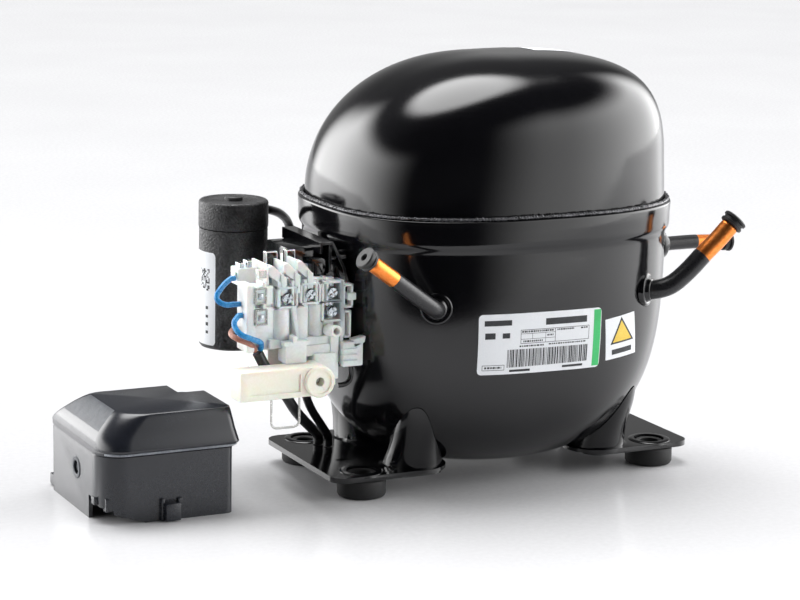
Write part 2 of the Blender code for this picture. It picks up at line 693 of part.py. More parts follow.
def capacitor_lead():
    lead = ((CAP_X + CAP_RADIUS + FIT, CAP_Y + 3, 135.5), (CAP_X + CAP_RADIUS + 3, CAP_Y + 3.2, 135.5), (-94, 50, 131),
            (-86, 58, 124), (-82, 60, 112), (-86, 55, 98), (-94, 46, 87), (-100, 34, 80.5), (-106.5, 25, 79.5),
            (-111, BOARD_Y[1] + 4, 79.5), (-111, BOARD_Y[1] + FIT, 79.5))
    return wire("capacitor_lead", smooth_path(lead, 3), 2.3, RUBBER)


def board_leads():
    left = BOARD_X[0] - FIT
    blue = ((0.02, 0.25, 0.55), 0.4)
    upper = ((left, -21.5, 114), (left - 2.5, -21.5, 113.6), (left - 8, -23.5, 110), (left - 11.5, -26, 105.5),
             (left - 8.5, -27.8, 102.6), (left - 2.5, -28, 102.2), (left, -28, 102.2))
    wire("blue_lead_upper", smooth_path(upper, 3), WIRE_RADIUS, blue)
    lower = ((left, -31, 97), (left - 2, -31, 97), (left - 5.5, -34, 93.5), (left - 4, -38, 89.5),
             (left + 1.5, -39.5, 86.8), (left + 6.5, -38, 84.5), (left + 8.8, -34.5, 81.8), (left + 8.9, -33, 79.6))
    wire("blue_lead_lower", smooth_path(lower, 3), WIRE_RADIUS, blue)
    brown = ((left, -25, 89), (left - 2, -25, 89), (left - 5, -29, 87.5), (left - 3.5, -34, 86),
             (left + 2, -35.5, 83.5), (left + 5, -34, 81), (left + 5.8, -33, 79.2))
    wire("brown_lead", smooth_path(brown, 3), WIRE_RADIUS, ((0.45, 0.22, 0.14), 0.4))


def cables():
    """Sheathed supply cable under the clamp and the earth lead beside it, both ending on the base plate."""
    deck = FOOT_HEIGHT + FIT + PLATE_THICKNESS + 0.5
    supply = ((-141.8, -33, 78), (-138, -33, 71), (-132.5, -32.9, 64), (-127, -32.5, 56), (-119.5, -27, 46.5),
              (-109, -14, 37), (-97, 2, 27.5), (-87.5, 16, 20.5), (-84.3, 20.6, 17.5), (-84, 21, deck))
    wire("supply_cable", smooth_path(supply, 3), SHEATH_RADIUS, RUBBER)
    earth = ((-112, -24, BOARD_Z[0] - FIT), (-112, -24, 55), (-109, -20, 48.5), (-100, -7.5, 38),
             (-89, 4, 26), (-83, 12, 20), (-81.2, 14.7, 17.5), (-81, 15, deck))
    wire("earth_lead", smooth_path(earth, 3), 2.2, RUBBER)


def terminal_cover():
    """Moulded cover, open below: upright skirt, a proud lip and a sloping hood."""
    def section(x, y, z, radius):
        return [(px, py, z) for px, py in rounded_outline(x, y, radius, 3)]
    lip_x = (COVER_X[0] - 1.5, COVER_X[1] + 2.0)
    lip_y = (COVER_Y[0] - COVER_LIP, COVER_Y[1] + 1.5)
    hood_x = (COVER_TOP_LEFT_X, COVER_X[1])
    hood_y = (COVER_Y[0] + 1.0, COVER_TOP_BACK_Y)
    corner = 7.0
    rings = [section(COVER_X, COVER_Y, 0, corner), section(COVER_X, COVER_Y, COVER_LIP_Z, corner),
             section(lip_x, lip_y, COVER_LIP_Z + 1.5, corner),
             section((lip_x[0] + 3.5, lip_x[1] - 1.0), (lip_y[0] + 2.0, lip_y[1] - 9.5), COVER_SHOULDER_Z, corner),
             section(hood_x, hood_y, COVER_TOP_Z, corner)]
    obj = solidify(from_bmesh("terminal_cover", ring_loft(rings, close_end=True), DARK_PLASTIC), COVER_WALL)
    screw_way = rod("cover_screw_way", (COVER_X[0] - 5, -4, 21), (COVER_X[0] + 6, -4, 21), COVER_SCREW_RADIUS)
    notch = box("notch", (COVER_X[0] - 5, COVER_X[0] + 14), (COVER_Y[0] - 5, COVER_Y[0] + 6), (-2, 10.5))
    tab = box("tab", (-194, -187), (COVER_Y[0] - 3.5, COVER_Y[0] + 1), (0, 9.5))
    return cut(join(obj, tab), screw_way, notch)


def suspension_spring(name, x, y):
    turns = 3
    per_turn = 8
    total = turns * per_turn
    height = SPRING_Z[1] - SPRING_Z[0] - 2 * SPRING_WIRE
    points = []
    for i in range(total + 1):
        a = 2 * math.pi * i / per_turn
        points.append((x + SPRING_RADIUS * math.cos(a), y + SPRING_RADIUS * math.sin(a),
                       SPRING_Z[0] + SPRING_WIRE + height * i / total))
    return wire(name, points, SPRING_WIRE, STEEL, resolution=1)


def motor(unit):
    bore = ROTOR_RADIUS + AIR_GAP
    at = (CRANK_X, 0, 0)
    turned("stator_core", [(STATOR_RADIUS, STACK_Z[1]), (STATOR_RADIUS, STACK_Z[0]), (bore, STACK_Z[0]),
                           (bore, STACK_Z[1])], IRON, at=at, ring=True, parent=unit, steps=40)
    for name, low, high, reach in (("upper_winding", STACK_Z[1] + FIT, STACK_Z[1] + 11, 44.0),
                                   ("lower_winding", STACK_Z[0] - 10, STACK_Z[0] - FIT, 38.0)):
        turned(name, [(reach - 2, high), (reach, high - 2), (reach, low + 2), (reach - 2, low), (bore + 1.5, low),
                      (bore + 1.5, high)], COPPER, at=at, ring=True, parent=unit)


def cylinder_block(unit):
    """Deck on four posts with the main bearing below it and the cylinder above it."""
    at = (CRANK_X, 0, 0)
    hub = SHAFT_RADIUS + 5.5
    bearing = SHAFT_RADIUS + RUN
    low = DECK_Z[0] - 12
    obj = turned("cylinder_block", [(bearing, DECK_Z[1]), (DECK_RADIUS, DECK_Z[1]), (DECK_RADIUS, DECK_Z[0]),
                                    (hub, DECK_Z[0]), (hub, low), (bearing, low)], IRON, at=at, ring=True,
                 parent=unit)
    obj.data.materials[0].name = "cast_iron"
    barrel = box("barrel", CYLINDER_X, (-HEAD_HALF_Y, HEAD_HALF_Y), (DECK_Z[1] - 1, HEAD_Z[1]))
    reach = (STATOR_RADIUS - 4) / math.sqrt(2)
    posts = [rod("post", (CRANK_X + sx * reach, sy * reach, STACK_Z[1] + FIT),
                 (CRANK_X + sx * reach, sy * reach, DECK_Z[0] + 1), 3.0, sides=12)
             for sx in (-1, 1) for sy in (-1, 1)]
    bore = rod("bore", (CYLINDER_X[0] - 5, 0, BORE_Z), (CYLINDER_X[1] + 5, 0, BORE_Z), BORE_RADIUS, sides=32)
    return cut(join(obj, barrel, *posts), bore)


def valve_gear(unit):
    face = CYLINDER_X[1] + FIT
    plate = box("valve_plate", (face, face + VALVE_PLATE), (-HEAD_HALF_Y, HEAD_HALF_Y), HEAD_Z, STEEL, parent=unit)
    cut(plate, rod("suction_port", (face - 2, 0, BORE_Z + 4), (face + VALVE_PLATE + 2, 0, BORE_Z + 4), 2.2, sides=12),
        rod("discharge_port", (face - 2, 8, BORE_Z), (face + VALVE_PLATE + 2, 8, BORE_Z), 1.8, sides=12))
    back = face + VALVE_PLATE + FIT
    head = box("cylinder_head", (back, back + HEAD_DEPTH), (-HEAD_HALF_Y, HEAD_HALF_Y), HEAD_Z, IRON, parent=unit)
    cut(head, box("chamber", (back - 2, back + HEAD_DEPTH - 4), (-HEAD_HALF_Y + 4, HEAD_HALF_Y - 4),
                  (HEAD_Z[0] + 4, HEAD_Z[1] - 4)))
    box("suction_muffler", (CYLINDER_X[0] + 6, back + HEAD_DEPTH - 2), (-HEAD_HALF_Y - 22, -HEAD_HALF_Y - 1.5),
        (HEAD_Z[0] + 4, HEAD_Z[1]), IVORY, parent=unit, bevel=3.0)
    thick, half_width, length = REED
    for name, x, y, z in (("suction_reed", face - thick - FIT, 0, BORE_Z - 8.5),
                          ("discharge_reed", back + FIT, 8, BORE_Z - 12)):
        pivot = bpy.data.objects.new(name + "_pivot", None)
        PARTS.objects.link(pivot)
        pivot.parent = unit
        pivot.location = Vector((x + thick / 2, y, z)) * MM
        box(name, (-thick / 2, thick / 2), (-half_width, half_width), (0, length), STEEL, parent=pivot)
    start = back + HEAD_DEPTH + FIT
    tail_x, tail_y, tail_z = DISCHARGE["inside"]
    loop = ((start, 8, 124), (start + 3, 8, 124), (start + 8, 3, 123), (start + 9, -8, 121.5), (start + 8, -20, 120),
            (start + 8.5, -29, 118.6), (tail_x - 4, tail_y, tail_z), (tail_x - FIT, tail_y, tail_z))
    wire("discharge_loop", smooth_path(loop, 3), 2.2, COPPER, parent=unit)


def axis_empty(name, parent, x):
    empty = bpy.data.objects.new(name, None)
    PARTS.objects.link(empty)
    empty.parent = parent
    empty.location = (x * MM, 0, 0)
    return empty


def crankshaft(spin, pin_x, low, pin_top):
    """Main journal, web and crankpin in one piece, with an oil gallery in the pin's end."""
    shaft = rod("crankshaft", (0, 0, low), (0, 0, WEB_Z[0] + 0.5), SHAFT_RADIUS, STEEL, parent=spin, sides=32)
    web = rod("web", (pin_x * 0.3, 0, WEB_Z[0]), (pin_x * 0.3, 0, WEB_Z[1]), 18.0, sides=32, parent=spin)
    journal = rod("journal", (pin_x, 0, WEB_Z[1] - 0.5), (pin_x, 0, pin_top), PIN_JOURNAL_RADIUS, sides=32,
                  parent=spin)
    gallery = rod("gallery", (pin_x / 2, 0, pin_top - 4), (pin_x / 2, 0, pin_top + 2), PLUG_RADIUS + RUN, sides=16,
                  parent=spin)
    cut(join(shaft, web, journal), gallery)


def sliding_block(pin, low, high):
    half = BLOCK_SIDE / 2
    block = box("sliding_block", (-half, half), (-half, half), (low, high), STEEL, parent=pin)
    return cut(block, rod("pin_way", (0, 0, low - 2), (0, 0, high + 2), PIN_JOURNAL_RADIUS + RUN, sides=32,
                          parent=pin))


def piston_yoke(pin, low, high):
    """Slotted frame round the block, with the piston on a short rod."""
    half = BLOCK_SIDE / 2
    frame_x = half + RUN + YOKE_FRAME
    slot_y = half + ECCENTRIC + 1.0
    yoke = box("piston_yoke", (-frame_x, frame_x), (-slot_y - YOKE_FRAME, slot_y + YOKE_FRAME), (low, high), STEEL,
               parent=pin)
    crown = CROWN_TDC_X - CRANK_X - ECCENTRIC
    neck = rod("yoke_rod", (frame_x - 1, 0, BORE_Z), (crown - PISTON_LENGTH + 2, 0, BORE_Z), 5.5, parent=pin,
               sides=16)
    piston = rod("piston", (crown - PISTON_LENGTH, 0, BORE_Z), (crown, 0, BORE_Z), BORE_RADIUS - RUN, parent=pin,
                 sides=32)
    slot = box("yoke_slot", (-half - RUN, half + RUN), (-slot_y, slot_y), (low - 2, high + 2), parent=pin)
    return cut(join(yoke, neck, piston), slot)


def crank_train(unit):
    """Turning and reciprocating parts, at the dead point farthest from the valve plate."""
    spin = axis_empty("crank_axis", unit, CRANK_X)
    pin_x = -ECCENTRIC
    low = STACK_Z[0] - 8
    pin_top = BORE_Z + YOKE_THICKNESS / 2
    crankshaft(spin, pin_x, low, pin_top)
    gallery = axis_empty("gallery_axis", spin, pin_x / 2)
    rod("gallery_plug", (0, 0, pin_top - 3.7), (0, 0, pin_top), PLUG_RADIUS, STEEL, parent=gallery, sides=16)
    turned("rotor", [(ROTOR_RADIUS, STACK_Z[1] - 1), (ROTOR_RADIUS, STACK_Z[0] + 1),
                     (SHAFT_RADIUS + FIT, STACK_Z[0] + 1), (SHAFT_RADIUS + FIT, STACK_Z[1] - 1)], IRON,
           ring=True, parent=spin)
    turned("oil_pickup", [(0, low - FIT), (6, low - FIT), (3.5, low - 8), (0, low - 8)], STEEL, parent=spin, steps=16)
    face = YOKE_THICKNESS / 2 - 0.5
    sliding_block(axis_empty("block_axis", spin, pin_x), BORE_Z - face, BORE_Z + face)
    piston_yoke(axis_empty("yoke_axis", gallery, pin_x / 2), BORE_Z - face, BORE_Z + face)


def build():
    lower_shell()
    upper_shell()
    weld_seam()
    for side, word in ((-1, "left"), (1, "right")):
        base_plate("base_plate_" + word, side)
        for depth, where in ((-1, "front"), (1, "back")):
            rubber_foot("rubber_foot_%s_%s" % (where, word), side, depth)
    for name, tube in (("suction", SUCTION), ("discharge", DISCHARGE), ("process", PROCESS)):
        tube_stub(name + "_tube", tube)
        tube_plug(name + "_plug", tube)
    terminal_header()
    terminal_fence()
    terminal_board()
    start_relay()
    overload_protector()
    for number, (x, z) in enumerate(SCREW_PLACES, 1):
        terminal_screw(number, x, z)
    for number, (x, z) in enumerate(LUG_PLACES, 1):
        terminal_lug(number, x, z)
    cord_clamp()
    clamp_screw()
    wire_bail()
    capacitor()
    capacitor_bracket()
    capacitor_lead()
    board_leads()
    cables()
    terminal_cover()
    unit = bpy.data.objects.new("pump_unit", None)
    PARTS.objects.link(unit)
    unit.parent = ROOT
    motor(unit)
    cylinder_block(unit)
    valve_gear(unit)
    crank_train(unit)
    for word, (x, y) in zip(("left_front", "left_back", "right_front", "right_back"), spring_places()):
        suspension_spring("suspension_spring_" + word, x, y)


def centre_on_floor():
    """Moves the frame so that the middle of the whole box stands on the origin."""
    bpy.context.view_layer.update()
    depsgraph = bpy.context.evaluated_depsgraph_get()
    low = Vector((1e9,) * 3)
    high = -low
    for obj in PARTS.objects:
        if obj.type == "EMPTY":
            continue
        shape = obj.evaluated_get(depsgraph)
        mesh = shape.to_mesh()
        for vertex in mesh.vertices:
            at = obj.matrix_world @ vertex.co
            low = Vector(map(min, low, at))
            high = Vector(map(max, high, at))
        shape.to_mesh_clear()
    ROOT.location = (-(low.x + high.x) / 2, -(low.y + high.y) / 2, -low.z)
    bpy.context.view_layer.update()


build()
centre_on_floor()
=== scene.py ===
import math
import random

import bmesh
import bpy
from mathutils import Matrix, Vector


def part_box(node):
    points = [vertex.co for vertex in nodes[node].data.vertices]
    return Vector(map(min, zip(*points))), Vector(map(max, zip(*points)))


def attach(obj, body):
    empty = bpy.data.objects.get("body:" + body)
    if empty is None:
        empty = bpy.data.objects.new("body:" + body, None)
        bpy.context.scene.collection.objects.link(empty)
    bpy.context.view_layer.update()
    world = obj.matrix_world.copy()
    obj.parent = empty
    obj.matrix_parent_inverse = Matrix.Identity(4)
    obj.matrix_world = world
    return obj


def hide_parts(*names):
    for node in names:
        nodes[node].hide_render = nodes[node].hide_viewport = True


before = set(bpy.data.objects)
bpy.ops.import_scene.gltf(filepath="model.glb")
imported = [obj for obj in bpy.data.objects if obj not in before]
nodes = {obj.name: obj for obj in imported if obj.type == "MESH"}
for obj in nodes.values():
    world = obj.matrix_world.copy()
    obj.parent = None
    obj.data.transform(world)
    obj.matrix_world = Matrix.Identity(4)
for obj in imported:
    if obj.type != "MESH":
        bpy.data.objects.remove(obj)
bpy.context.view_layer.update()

feet = [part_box("rubber_foot_" + place) for place in ("front_left", "back_left", "front_right", "back_right")]
feetLow = Vector([min(low[i] for low, high in feet) for i in range(3)])
feetHigh = Vector([max(high[i] for low, high in feet) for i in range(3)])
middle = (feetLow + feetHigh) / 2       # midway between the four feet; every size below is counted from here, in mm
middle.z = 0


def at(x, y, z):
    return Vector((x, y, z)) / 1000 + middle


# camera and studio
cameraSettings = {"azimuth": -26.22, "elevation": 11.67, "distance": 1362.5, "target": (-34.9, 26.4, 85.2),
                  "lens": 115.5, "roll": 1.1}


def makeCamera(s):
    cam = bpy.data.cameras.new("studioCamera")
    cam.lens = s["lens"]
    cam.sensor_width = 36
    cam.clip_start = 0.05
    cam.clip_end = 50
    obj = bpy.data.objects.new("studioCamera", cam)
    bpy.context.scene.collection.objects.link(obj)
    a = math.radians(s["azimuth"])
    e = math.radians(s["elevation"])
    back = Vector((math.sin(a) * math.cos(e), -math.cos(a) * math.cos(e), math.sin(e)))
    obj.location = at(*s["target"]) + back * s["distance"] / 1000
    turn = (-back).to_track_quat("-Z", "Y").to_matrix().to_4x4()
    roll = Matrix.Rotation(math.radians(s["roll"]), 4, "Z")
    obj.matrix_world = Matrix.Translation(obj.location) @ turn @ roll
    bpy.context.scene.camera = obj


makeCamera(cameraSettings)


def hexColour(text):
    value = []
    for i in (0, 2, 4):
        c = int(text[i:i + 2], 16) / 255
        value.append(c / 12.92 if c <= 0.04045 else ((c + 0.055) / 1.055) ** 2.4)
    return (*value, 1.0)


def addNode(tree, kind, feeds=None, **settings):
    node = tree.nodes.new(kind)
    for key, value in settings.items():
        setattr(node, key, value)
    for key, value in (feeds or {}).items():
        if isinstance(value, bpy.types.NodeSocket):
            tree.links.new(value, node.inputs[key])
        else:
            node.inputs[key].default_value = value
    return node


def startMaterial(name, **sockets):
    mat = bpy.data.materials.new(name)
    mat.use_nodes = True
    shader = mat.node_tree.nodes["Principled BSDF"]
    for key, value in sockets.items():
        shader.inputs[key.replace("_", " ")].default_value = value
    return mat, mat.node_tree, shader


def surfaceFinish(name, dark, light, roughness, spread=0.05, grainMm=1.0, bumpMm=0.02, patchMm=20.0, stretch=(1, 1, 1),
                  turn=(0, 0, 0), strength=1.0, detail=3.0, **sockets):
    # colour drifts over patchMm, roughness varies by spread, and grainMm carries the bump
    mat, tree, shader = startMaterial(name, **sockets)
    coords = addNode(tree, "ShaderNodeTexCoord").outputs["Object"]
    if stretch != (1, 1, 1) or turn != (0, 0, 0):
        coords = addNode(tree, "ShaderNodeMapping", {"Vector": coords, "Scale": stretch, "Rotation": turn}).outputs[0]
    patch = addNode(tree, "ShaderNodeTexNoise", {"Vector": coords, "Scale": 1000 / patchMm,
                                                 "Detail": 4.0}).outputs["Fac"]
    grain = addNode(tree, "ShaderNodeTexNoise", {"Vector": coords, "Scale": 1000 / grainMm,
                                                 "Detail": detail}).outputs["Fac"]
    mixed = addNode(tree, "ShaderNodeMath", {0: patch, 1: grain}, operation="MULTIPLY").outputs[0]
    ramp = addNode(tree, "ShaderNodeValToRGB", {"Fac": mixed})
    for element, place, colour in zip(ramp.color_ramp.elements, (0.12, 0.42), (dark, light)):
        element.position = place
        element.color = hexColour(colour)
    tree.links.new(ramp.outputs["Color"], shader.inputs["Base Color"])
    rough = addNode(tree, "ShaderNodeMapRange", {"Value": grain, "From Min": 0.3, "From Max": 0.7,
                                                 "To Min": roughness - spread, "To Max": roughness + spread})
    tree.links.new(rough.outputs[0], shader.inputs["Roughness"])
    bump = addNode(tree, "ShaderNodeBump", {"Height": grain, "Distance": bumpMm / 1000, "Strength": strength})
    tree.links.new(bump.outputs[0], shader.inputs["Normal"])
    return mat


# gloss black baked enamel: sprayed steel, near mirror with a faint orange peel that softens the edge of a reflection
glossBlackEnamel = surfaceFinish("gloss_black_enamel", "08080a", "0d0d10", 0.13, 0.03, grainMm=0.9, bumpMm=0.012,
                                 patchMm=40, IOR=1.5)
# the same enamel on the tubes, thin and streaky from the dip
tubeEnamel = surfaceFinish("dipped_black_enamel", "101012", "1c1c1f", 0.33, 0.08, grainMm=0.8, bumpMm=0.03, patchMm=9,
                           IOR=1.5)
# enamel over the weld: its light grey speckles are partly bare metal spots and partly painted highlight, the sparkle of
# the ripples
weldEnamelPaintedSparkle = surfaceFinish("weld_enamel_bare_spots_painted_sparkle", "08080a", "6c6c70", 0.26, 0.1, grainMm=0.9, bumpMm=0.15, patchMm=3,
                           IOR=1.5, Metallic=0.35)
# bare copper tube, drawn: warm, bright, with fine lines along it
drawnCopper = surfaceFinish("drawn_copper", "e07a34", "f59a52", 0.36, 0.05, grainMm=0.6, bumpMm=0.008, patchMm=7,
                            stretch=(0.35, 1, 0.5), Metallic=1.0)
mouldedRubber = surfaceFinish("moulded_black_rubber", "0a0a0b", "141415", 0.72, 0.08, grainMm=0.5, bumpMm=0.05,
                              patchMm=8, IOR=1.52)
plugRubber = surfaceFinish("plug_rubber", "0c0c0d", "222224", 0.5, 0.1, grainMm=0.45, bumpMm=0.05, patchMm=5, IOR=1.52)
# spark-eroded polypropylene of the capacitor: coarse satin grain
grainedPlastic = surfaceFinish("spark_grained_plastic", "0d0d0e", "3c3c3e", 0.46, 0.14, grainMm=1.1, bumpMm=0.4,
                               patchMm=5, IOR=1.49, detail=1.0)
# natural nylon: milky, lets some light in
ivoryNylon = surfaceFinish("natural_nylon", "f0f0ee", "fbfbfa", 0.34, 0.05, grainMm=1.2, bumpMm=0.006, patchMm=14,
                           IOR=1.53, Subsurface_Weight=0.35, Subsurface_Scale=0.004)
clampNylon = surfaceFinish("yellowed_nylon", "f3f0e0", "faf8ec", 0.36, 0.05, grainMm=1.2, bumpMm=0.006, patchMm=14,
                           IOR=1.53, Subsurface_Weight=0.4, Subsurface_Scale=0.005)
# slate ABS of the loose cover: moulded, satin on the flats
slateAbs = surfaceFinish("slate_abs", "181a20", "20232a", 0.24, 0.03, grainMm=0.7, bumpMm=0.006, patchMm=30, IOR=1.53)
etchedAbs = surfaceFinish("etched_abs", "26292f", "4a4e55", 0.48, 0.1, grainMm=0.8, bumpMm=0.2, patchMm=4, IOR=1.53)
smokedPlastic = surfaceFinish("smoked_polycarbonate", "141516", "2c2e2f", 0.1, 0.04, grainMm=3, bumpMm=0.05, patchMm=6,
                              IOR=1.58, Transmission_Weight=0.35)
zincPlate = surfaceFinish("bright_zinc", "8e969c", "d5dbe0", 0.22, 0.08, grainMm=0.8, bumpMm=0.03, patchMm=2.5,
                          Metallic=1.0)
groundSteel = surfaceFinish("ground_steel", "77797c", "a9abae", 0.3, 0.08, grainMm=0.8, bumpMm=0.01, patchMm=6,
                            stretch=(1, 1, 0.1), Metallic=1.0)
sandCast = surfaceFinish("sand_cast_iron", "2d2d2f", "4d4c4b", 0.6, 0.1, grainMm=1.1, bumpMm=0.2, patchMm=10,
                         Metallic=0.6)
blueInsulation = surfaceFinish("blue_insulation", "1573b4", "3f9fd8", 0.3, 0.05, grainMm=1, bumpMm=0.01, patchMm=5,
                               IOR=1.52)
brownInsulation = surfaceFinish("brown_insulation", "9a5f4c", "c08a76", 0.34, 0.05, grainMm=1, bumpMm=0.01, patchMm=5,
                                IOR=1.52)
blackSheath = surfaceFinish("black_pvc_sheath", "0c0c0d", "1b1b1d", 0.38, 0.06, grainMm=0.8, bumpMm=0.02, patchMm=6,
                            IOR=1.52)
# lighter ABS on the bead under the lip: a painted highlight standing in for the bead's specular line
paintedHighlightAbs = surfaceFinish("abs_painted_bead_highlight", "6f747c", "a9adb4", 0.3, 0.04, grainMm=0.7, bumpMm=0.006, patchMm=9, IOR=1.53)
whitePaper = surfaceFinish("coated_label_stock", "dfe2e6", "eceef1", 0.42, 0.04, grainMm=0.4, bumpMm=0.004, patchMm=30,
                           IOR=1.47)
printInk = surfaceFinish("label_ink", "1b1c1f", "35373b", 0.5, 0.05, grainMm=0.4, bumpMm=0.002, patchMm=3, IOR=1.47)
greenInk = surfaceFinish("green_ink", "2fae5e", "43c474", 0.42, 0.04, grainMm=0.4, bumpMm=0.002, patchMm=12, IOR=1.47)
yellowInk = surfaceFinish("yellow_ink", "d9b53a", "efd163", 0.42, 0.04, grainMm=0.4, bumpMm=0.002, patchMm=12,
                          IOR=1.47)
clearNylon = surfaceFinish("clear_nylon_line", "e6e6e2", "f4f4f0", 0.25, 0.04, grainMm=1, bumpMm=0.01, patchMm=8,
                           IOR=1.53, Transmission_Weight=0.6)
print("materials ready")


def finishPiece(name, bm, materials, body, replaces=(), sharpAngle=35, bevel=0.0, subdivide=0):
    # bm is in millimetres from the feet's middle; the piece's object stays at the origin
    for vert in bm.verts:
        vert.co = at(*vert.co)
    mesh = bpy.data.meshes.new(name)
    bm.to_mesh(mesh)
    bm.free()
    for mat in materials if isinstance(materials, (list, tuple)) else [materials]:
        mesh.materials.append(mat)
    obj = bpy.data.objects.new(name, mesh)
    bpy.context.scene.collection.objects.link(obj)
    if bevel:
        mod = obj.modifiers.new("edges", "BEVEL")
        mod.width = bevel / 1000
        mod.segments = 2
        mod.limit_method = "ANGLE"
        mod.angle_limit = math.radians(30)
    if subdivide:
        mod = obj.modifiers.new("smooth", "SUBSURF")
        mod.levels = mod.render_levels = subdivide
    mesh.shade_smooth()
    mesh.set_sharp_from_angle(angle=math.radians(sharpAngle))
    rideOn(obj, body, replaces)
    return obj


def rideOn(obj, body, replaces=()):
    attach(obj, body)
    if replaces:
        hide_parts(*([replaces] if isinstance(replaces, str) else replaces))


def loft(bm, rings, closeStart=False, closeEnd=False, material=0, around=True):
    loops = [[bm.verts.new(p) for p in ring] for ring in rings]
    count = len(loops[0])
    for low, high in zip(loops, loops[1:]):
        for i in range(count if around else count - 1):
            j = (i + 1) % count
            bm.faces.new((low[i], low[j], high[j], high[i])).material_index = material
    for loop, wanted, flip in ((loops[0], closeStart, True), (loops[-1], closeEnd, False)):
        if not wanted:
            continue
        pole = bm.verts.new(sum((v.co for v in loop), Vector()) / count)
        for i in range(count):
            j = (i + 1) % count
            corner = (loop[j], loop[i], pole) if flip else (loop[i], loop[j], pole)
            bm.faces.new(corner).material_index = material
    return loops


def addBlock(bm, x, y, z, bevel=0.25, material=0):
    made = bmesh.ops.create_cube(bm, size=1.0)["verts"]
    size = Vector((x[1] - x[0], y[1] - y[0], z[1] - z[0]))
    centre = Vector((x[0] + x[1], y[0] + y[1], z[0] + z[1])) / 2
    for v in made:
        v.co = Vector((v.co.x * size.x, v.co.y * size.y, v.co.z * size.z)) + centre
    edges = list({e for v in made for e in v.link_edges})
    faces = list({f for v in made for f in v.link_faces})
    for f in faces:
        f.material_index = material
    if bevel:
        bmesh.ops.bevel(bm, geom=edges, offset=min(bevel, min(size) * 0.3), segments=2, affect="EDGES", profile=0.6)


def axisMatrix(start, direction):
    return Matrix.Translation(Vector(start)) @ Vector(direction).normalized().to_track_quat("Z",
                                                                                            "Y").to_matrix().to_4x4()


def addTurned(bm, profile, start=(0, 0, 0), direction=(0, 0, 1), steps=48, material=0, closed=False):
    # profile: (radius, distance along the axis) from one end to the other; radius 0 closes at a pole
    place = axisMatrix(start, direction)
    rows = []
    for radius, along in profile:
        if radius == 0:
            rows.append([bm.verts.new(place @ Vector((0, 0, along)))])
        else:
            rows.append([bm.verts.new(place @ Vector((radius * math.cos(2 * math.pi * i / steps),
                                                      radius * math.sin(2 * math.pi * i / steps), along)))
                         for i in range(steps)])
    pairs = list(zip(rows, rows[1:])) + ([(rows[-1], rows[0])] if closed else [])
    made = []
    for low, high in pairs:
        for i in range(steps):
            j = (i + 1) % steps
            corners = [low[i % len(low)], low[j % len(low)], high[j % len(high)], high[i % len(high)]]
            corners = [c for k, c in enumerate(corners) if c not in corners[:k]]
            if len(corners) > 2:
                made.append(bm.faces.new(corners))
    for f in made:
        f.material_index = material
    return made


def followPath(points, perSpan=6):
    pts = [Vector(p) for p in points]
    ways = [(pts[1] - pts[0]).normalized()]
    ways += [(b - a).normalized() for a, b in zip(pts, pts[2:])]
    ways.append((pts[-1] - pts[-2]).normalized())
    out = []
    for i in range(len(pts) - 1):
        chord = (pts[i + 1] - pts[i]).length
        for k in range(perSpan):
            t = k / perSpan
            out.append(pts[i] * (2 * t ** 3 - 3 * t * t + 1) + pts[i + 1] * (3 * t * t - 2 * t ** 3)
                       + ways[i] * chord * (t ** 3 - 2 * t * t + t) + ways[i + 1] * chord * (t ** 3 - t * t))
    return out + [pts[-1]]


def addTube(bm, points, radii, steps=24, material=0, close=(True, True)):
    pts = [Vector(p) for p in points]
    if not isinstance(radii, (list, tuple)):
        radii = [radii] * len(pts)
    way = (pts[1] - pts[0]).normalized()
    side = way.orthogonal().normalized()
    rings = []
    for i, p in enumerate(pts):
        new = (pts[min(i + 1, len(pts) - 1)] - pts[max(i - 1, 0)]).normalized()
        side = (way.rotation_difference(new) @ side).normalized()
        side = (side - new * side.dot(new)).normalized()
        way = new
        other = way.cross(side)
        rings.append([p + (side * math.cos(2 * math.pi * k / steps) + other * math.sin(2 * math.pi * k / steps))
                      * radii[i] for k in range(steps)])
    return loft(bm, rings, close[0], close[1], material)


def recalc(bm):
    bm.normal_update()
    bmesh.ops.recalc_face_normals(bm, faces=bm.faces)
    return bm


# housing
housing = {"halfX": 93.1, "halfY": 75.3, "square": 2.7, "bowlSquare": 1.95, "rimLow": 131.0, "bottom": 8.24,
           "bowlCurve": (3.25, 3.63), "rimTop": 144.0, "proud": 1.8, "wall": 2.7, "domeTop": 218.75,
           "domeCurve": (2.89, 0.87, 2.98, 0.78), "domeSquare": 2.6, "domeLean": 2.1, "steps": 176}


def ovalRing(halfX, halfY, square, z, centreX=0.0, count=None):
    count = count or housing["steps"]
    ring = []
    for i in range(count):
        c = math.cos(2 * math.pi * i / count)
        s = math.sin(2 * math.pi * i / count)
        # points at even steps of the angle, set on the superellipse; their spacing along the outline is not even
        ring.append(Vector((centreX + halfX * math.copysign(abs(c) ** (2 / square), c),
                            halfY * math.copysign(abs(s) ** (2 / square), s), z)))
    return ring


def bowlShape(z):
    h = housing
    fall = min(1.0, max(0.0, (h["rimLow"] - z) / (h["rimLow"] - h["bottom"])))
    power, root = h["bowlCurve"]
    share = max(0.0, 1 - fall ** power) ** (1 / root)
    return share, h["square"] + (h["bowlSquare"] - h["square"]) * fall ** 4


def bowlY(x, z, proud=0.0):
    # front of the bowl at x and z, pushed out by proud
    share, square = bowlShape(z)
    halfX = housing["halfX"] * share + proud
    halfY = housing["halfY"] * share + proud
    return -halfY * max(0.0, 1 - abs(x / halfX) ** square) ** (1 / square)


def bowlPoint(x, z, proud=0.0):
    return Vector((x, bowlY(x, z, proud), z))


